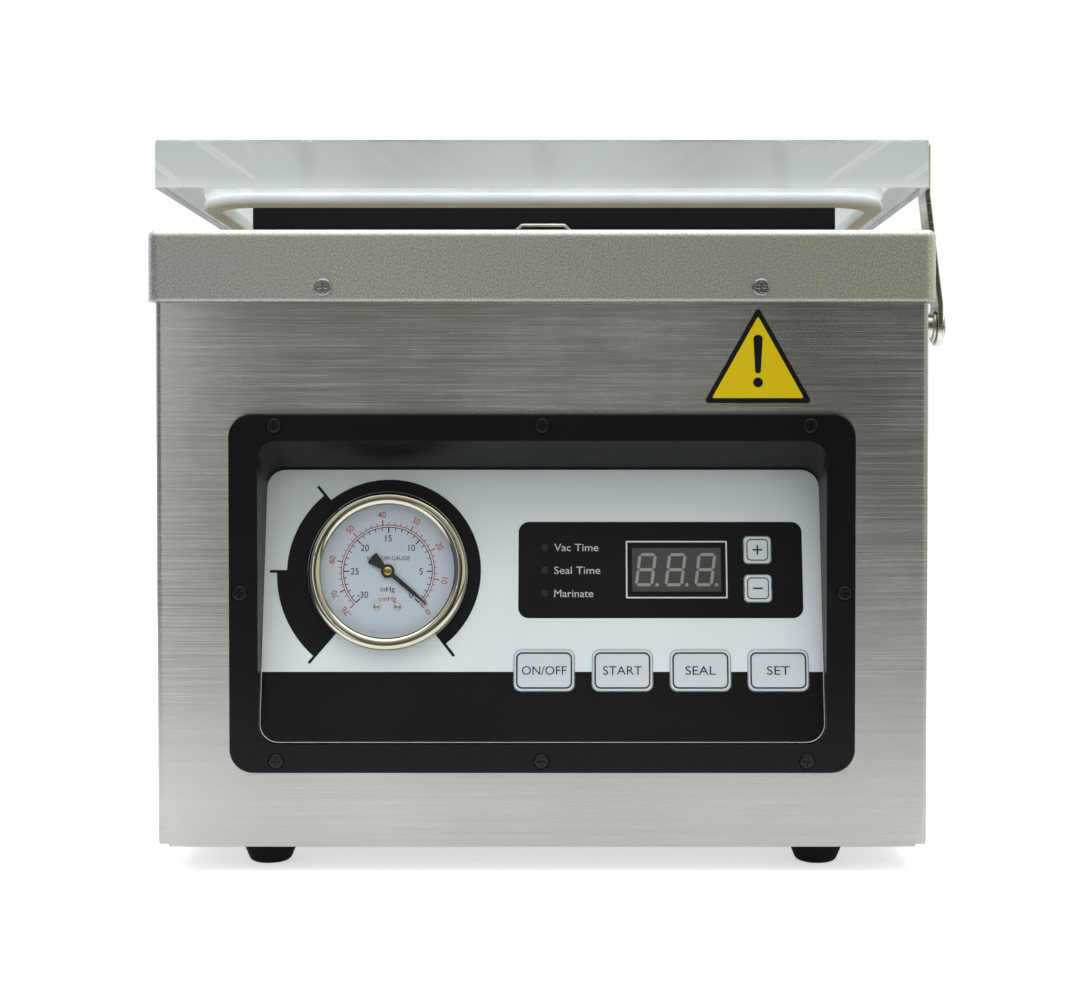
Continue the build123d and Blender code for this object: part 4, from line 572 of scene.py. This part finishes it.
# --- three-digit display, unlit -------------------------------------------------------------------
DIGIT_H, DIGIT_W, DIGIT_PITCH, STROKE = 14.2, 7.9, 12.7, 1.3
LEAN = 0.13  # sideways run per unit of height
GAP = 0.2  # between the ends of two segments
half_w, half_h, s = DIGIT_W / 2 - STROKE / 2, DIGIT_H / 2 - STROKE / 2, STROKE / 2
flat = [(-half_w + GAP, half_w - GAP, y) for y in (-half_h, 0, half_h)]
upright = [(y0, y1, x) for x in (-half_w, half_w) for y0, y1 in ((-half_h + GAP, -GAP), (GAP, half_h - GAP))]
lying = [[(a, c), (a + s, c + s), (b - s, c + s), (b, c), (b - s, c - s), (a + s, c - s)] for a, b, c in flat]
standing = [[(c, a), (c - s, a + s), (c - s, b - s), (c, b), (c + s, b - s), (c + s, a + s)]
            for a, b, c in upright]
digits = Print(PANEL, -0.3)
for n in (-1, 0, 1):
    middle = DISPLAY_AT[0] + n * DIGIT_PITCH - 0.4
    for outline in lying + standing:
        digits.shape([(middle + x + LEAN * y, DISPLAY_AT[1] + y) for x, y in outline])
    point_x = DIGIT_W / 2 + 1.6
    digits.shape(disc(middle + point_x - LEAN * half_h, DISPLAY_AT[1] - half_h, 0.75, 16))
digits.done("display_digits", segment, "base")

# --- gauge dial -----------------------------------------------------------------------------------
DIAL_TOP = 0.6
START_ANGLE, SWEEP = -45.0, 270.0  # degrees; zero is at the lower right
INCHES_FULL, CENTIMETRES_FULL = 30, 76


def dial_angle(value, full):
    return START_ANGLE + SWEEP * value / full


def graduations(dial, values, full, r0, major, minor, is_major):
    """Strokes out from radius r0; major and minor are each (end radius, width)."""
    for value in values:
        angle = dial_angle(value, full)
        r1, width = major if is_major(value) else minor
        dial.shape(bar(polar(r0, angle), polar(r1, angle), width))


inches = Print(GAUGE, DIAL_TOP)
inches.shape(sector(18.78, 19.1, START_ANGLE, START_ANGLE + SWEEP))
graduations(inches, range(INCHES_FULL + 1), INCHES_FULL, 18.9, (16.6, 0.5), (17.5, 0.32), lambda v: v % 5 == 0)
for value in range(0, INCHES_FULL + 1, 5):
    last = value == INCHES_FULL
    x, y = polar(14.2, dial_angle(value, INCHES_FULL))
    inches.text(f"-{value}" if last else str(value), 2.75, (x - 0.5 if last else x, y))
inches.text("VACUUM GAUGE", 1.75, (0, 5.6), 18.6)
inches.text("inHg", 2.1, (0, -7.6), 6.1)
inches.done("dial_inches", ink_dial, "base")

centimetres = Print(GAUGE, DIAL_TOP)
centimetres.shape(sector(19.75, 20.06, START_ANGLE, START_ANGLE + SWEEP))
graduations(centimetres, range(0, CENTIMETRES_FULL + 1, 2), CENTIMETRES_FULL, 19.9, (22.2, 0.46), (21.2, 0.28),
            lambda v: v % 10 == 0 or v == CENTIMETRES_FULL)
for value in (*range(0, 80, 10), CENTIMETRES_FULL):
    angle = dial_angle(value, CENTIMETRES_FULL)
    words = f"-{value}" if value == CENTIMETRES_FULL else str(value)
    centimetres.text(words, 2.6, polar(24.5, angle), angle=angle - 90)
centimetres.text("cmHg", 2.1, (0, -11.7), 7.5)
centimetres.done("dial_centimetres", ink_red, "base")


def lathe(name, profile, matrix, material, body, steps=40):
    """Piece turned about the plane's z axis from (radius, height) points."""
    around = [(cos(tau * i / steps), sin(tau * i / steps)) for i in range(steps)]
    made = bmesh.new()
    rings = []
    for r, h in profile:
        if r == 0:
            rings.append([made.verts.new((0, 0, h))])
        else:
            rings.append([made.verts.new((r * x, r * y, h)) for x, y in around])
    for low, high in zip(rings, rings[1:]):
        for i in range(steps):
            j = (i + 1) % steps
            if len(low) == 1:
                made.faces.new((low[0], high[i], high[j]))
            elif len(high) == 1:
                made.faces.new((low[i], low[j], high[0]))
            else:
                made.faces.new((low[i], low[j], high[j], high[i]))
    bmesh.ops.recalc_face_normals(made, faces=made.faces)
    mesh = bpy.data.meshes.new(name)
    made.to_mesh(mesh)
    made.free()
    mesh.transform(matrix)
    return piece(name, mesh, material, body, 35)


def on_dial(x, y, z=DIAL_TOP):
    return GAUGE @ Matrix.Translation((x, y, z))


NEEDLE_TOP = 1.8
screw_profile = [(1.5, 0.0), (1.55, 0.25), (1.35, 0.5), (0.9, 0.68), (0.42, 0.74), (0.3, 0.5), (0, 0.5)]
for side in (-1, 1):
    lathe(f"dial_screw_{'left' if side < 0 else 'right'}", screw_profile,
          on_dial(side * 4.45, -15.2), finish["bright_steel"], "base")
lathe("dial_stop_pin", [(0.62, 0.0), (0.62, 0.45), (0.45, 0.6), (0, 0.62)],
      on_dial(15.9, -13.9), brass, "base", 20)
lathe("needle_cap", [(1.75, 0.0), (1.75, 0.18), (1.5, 0.36), (0.75, 0.46), (0.6, 0.3), (0, 0.3)],
      on_dial(0, 0, NEEDLE_TOP), brass, "needle")

# --- warning plate: black border from CAD, yellow face and a plain mark ---------------------------
SIGN_X, SIGN_Z, SIGN_W, SIGN_H = 90.3, 197.6, 45.5, 40.4  # middle, lower edge, width, height
PLATE_T = 0.25


def triangle(inset, r=0.0):
    """The plate's outline moved in by inset, with corners rounded by r."""
    scale = 1 - inset * 3 / SIGN_H
    mid = SIGN_Z + SIGN_H / 3
    corners = [Vector((SIGN_X + dx * SIGN_W / 2 * scale, mid + dz * scale))
               for dx, dz in ((-1, -SIGN_H / 3), (1, -SIGN_H / 3), (0, SIGN_H * 2 / 3))]
    if not r:
        return [tuple(c) for c in corners]
    points = []
    for i, c in enumerate(corners):
        before = (corners[i - 1] - c).normalized()
        after = (corners[(i + 1) % 3] - c).normalized()
        points += [tuple(c + before * r), tuple(c + (before + after) * r * 0.28), tuple(c + after * r)]
    return points


sign = Print(FRONT, PLATE_T)
sign.shape(triangle(2.05, 0.9))
sign.done("sign_yellow", label_yellow, "base")
mark = Print(FRONT, PLATE_T + INK)
HEAD_Z, HEAD_R = 224.6, 1.95  # exclamation mark: its stroke's upper end and half its width there
TOE_Z, TOE_R = 211.0, 1.2
DOT_Z, DOT_R = 206.2, 2.05
crown = [(SIGN_X + HEAD_R * cos(radians(a)), HEAD_Z + 1.5 * sin(radians(a))) for a in range(10, 171, 20)]
toe = [(SIGN_X + TOE_R * cos(radians(a)), TOE_Z + 1.0 * sin(radians(a))) for a in range(190, 351, 20)]
mark.shape([(SIGN_X + HEAD_R, HEAD_Z)] + crown + [(SIGN_X - HEAD_R, HEAD_Z), (SIGN_X - TOE_R, TOE_Z)]
           + toe + [(SIGN_X + TOE_R, TOE_Z)])
mark.shape(disc(SIGN_X, DOT_Z, DOT_R, 28))
mark.done("sign_mark", ink_black, "base")


# --- lift springs at the hinges: wound wire -------------------------------------------------------
def tube(name, points, radius, material, body, sides=10):
    """Round wire along points in metres."""
    around = [(cos(tau * k / sides), sin(tau * k / sides)) for k in range(sides)]
    made = bmesh.new()
    rings = []
    up = Vector((0.13, 0.21, 1.0)).normalized()
    for i, p in enumerate(points):
        ahead = points[min(i + 1, len(points) - 1)] - points[max(i - 1, 0)]
        ahead.normalize()
        side = ahead.cross(up).normalized()
        up = side.cross(ahead).normalized()
        rings.append([made.verts.new(p + side * radius * x + up * radius * y) for x, y in around])
    for low, high in zip(rings, rings[1:]):
        for k in range(sides):
            j = (k + 1) % sides
            made.faces.new((low[k], low[j], high[j], high[k]))
    made.faces.new(list(reversed(rings[0])))
    made.faces.new(rings[-1])
    bmesh.ops.recalc_face_normals(made, faces=made.faces)
    mesh = bpy.data.meshes.new(name)
    made.to_mesh(mesh)
    made.free()
    return piece(name, mesh, material, body, 40)


COIL_X0, COIL_PITCH, COIL_TURNS, COIL_R, WIRE_R = 21.2, 2.26, 6, 6.4, 1.08
STEPS_A_TURN = 26
for side in (-1, 1):
    for end in (-1, 1):
        points = []
        for i in range(STEPS_A_TURN * COIL_TURNS + 1):
            turns = i / STEPS_A_TURN
            a = tau * turns - pi / 2
            x = side * HINGE_X + end * (COIL_X0 + COIL_PITCH * turns)
            points.append(Vector((x, HINGE_Y + COIL_R * cos(a), HINGE_Z + COIL_R * sin(a))) * MM)
        name = f"hinge_coil_{'left' if side < 0 else 'right'}_{'inner' if side * end < 0 else 'outer'}"
        tube(name, points, WIRE_R * MM, finish["spring_wire"], "base")
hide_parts("hinge_springs")

# --- smooth the curved faces of carried-over parts ------------------------------------------------
for name, made in nodes.items():
    made.data.shade_smooth()
    made.data.set_sharp_from_angle(angle=radians(28))

# --- stage: pale floor, soft studio light, camera -------------------------------------------------
floor_mesh = bpy.data.meshes.new("floor")
floor_build = bmesh.new()
bmesh.ops.create_grid(floor_build, x_segments=8, y_segments=8, size=9.0)
floor_build.to_mesh(floor_mesh)
floor_build.free()
floor = bpy.data.objects.new("floor", floor_mesh)
floor.location.z = -0.0003  # just under the feet
scene.collection.objects.link(floor)
floor_look = Shader("floor_pale")
grain = floor_look.noise((40.0,) * 3, 3.0)
floor_look.join("Roughness", floor_look.ramp(grain, 0.55, 0.7))
spot = {"Vector": floor_look.place, "Location": (0.05, 0.0, 0.0)}
from_spot = floor_look.add("ShaderNodeMapping", spot).outputs[0]
away = floor_look.add("ShaderNodeVectorMath", {0: from_spot}, operation="LENGTH").outputs["Value"]
near = floor_look.mix(grain, (0.72, 0.725, 0.73, 1), (0.76, 0.765, 0.77, 1))
beyond = floor_look.ramp(away, 0.0, 1.0, 0.45, 0.85)  # past a table's edge, as the steel mirrors it
floor_look.join("Base Color", floor_look.mix(beyond, near, (0.03, 0.03, 0.02, 1)))
lit_near = floor_look.ramp(away, 0.22, 0.0, 0.4, 0.85)
lit_seen = floor_look.ramp(away, 0.58, 1.0, 0.35, 0.75)
by_eye = floor_look.add("ShaderNodeLightPath").outputs["Is Camera Ray"]
glow = floor_look.add("ShaderNodeMix", {0: by_eye, 2: lit_near, 3: lit_seen}).outputs[0]
floor_look.set({"Emission Color": (1, 1, 1, 1)})
floor_look.join("Emission Strength", glow)
floor_mesh.materials.append(floor_look.material)

world = bpy.data.worlds.new("studio")
scene.world = world
world.use_nodes = True
world.node_tree.nodes.clear()
room = Graph(world.node_tree)
axes = room.add("ShaderNodeSeparateXYZ", {0: room.add("ShaderNodeTexCoord").outputs["Generated"]})
dx, dy, dz = axes.outputs
walls = room.mix(room.step(dx, 0.06, 0.18), (0.17, 0.17, 0.14, 1), (0.02, 0.024, 0.01, 1))  # dark on the right
walls = room.mix(room.step(dx, 0.36, 0.55), walls, (0.76, 0.745, 0.52, 1))  # warm wall farther right
walls = room.mix(room.step(dx, -0.2, -0.25), walls, (1.4, 1.42, 1.42, 1))  # bright strip on the left
walls = room.mix(room.step(dx, -0.27, -0.36), walls, (0.13, 0.14, 0.2, 1))  # blue-grey past the strip
walls = room.mix(room.step(dz, 0.3, 0.6), walls, (0.62, 0.61, 0.52, 1))  # upper walls
seen = room.mix(room.step(dy, -0.25, 0.35), walls, (1.0, 1.02, 1.03, 1))  # white behind the machine
seen = room.mix(room.step(dz, 0.68, 0.82), seen, (2.2, 2.2, 2.15, 1))  # ceiling
backdrop = room.mix(room.add("ShaderNodeLightPath").outputs["Is Camera Ray"], seen, (1, 1, 1, 1))
emit = room.add("ShaderNodeBackground", {"Color": backdrop, "Strength": 1.0})
room.add("ShaderNodeOutputWorld", {"Surface": emit.outputs[0]})


def softbox(name, at, towards, size, power, colour=(1, 1, 1)):
    """Rectangular soft light that isn't mirrored in the object."""
    data = bpy.data.lights.new(name, "AREA")
    data.shape = "RECTANGLE"
    data.size, data.size_y = size
    data.energy = power
    data.color = colour
    lamp = bpy.data.objects.new(name, data)
    lamp.location = at
    lamp.visible_glossy = False
    lamp.rotation_euler = (Vector(towards) - Vector(at)).to_track_quat("-Z", "Y").to_euler()
    scene.collection.objects.link(lamp)


softbox("light_overhead", (0.0, -0.25, 1.7), (0, -0.1, 0.1), (1.8, 1.3), 12.5)
softbox("light_left", (-1.5, -1.1, 0.9), (0, -0.1, 0.15), (0.7, 1.2), 4.5, (0.97, 0.98, 1.0))
softbox("light_front", (0.5, -2.6, 1.7), (0, -0.2, 0.1), (1.8, 0.9), 8.3, (1.0, 0.985, 0.95))

camera_data = bpy.data.cameras.new("camera")
camera_data.sensor_width = 36.0
camera_data.lens = 57.69  # fitted to the photo's perspective
camera_data.shift_x = -0.0311  # the picture's middle is off the optical axis
camera_data.shift_y = -0.0542
camera = bpy.data.objects.new("camera", camera_data)
camera.location = (0.0125, -0.960, 0.1958)
camera.rotation_euler = (radians(90 - 1.14), 0, 0)
scene.collection.objects.link(camera)
scene.camera = camera
scene.view_settings.view_transform = "Standard"
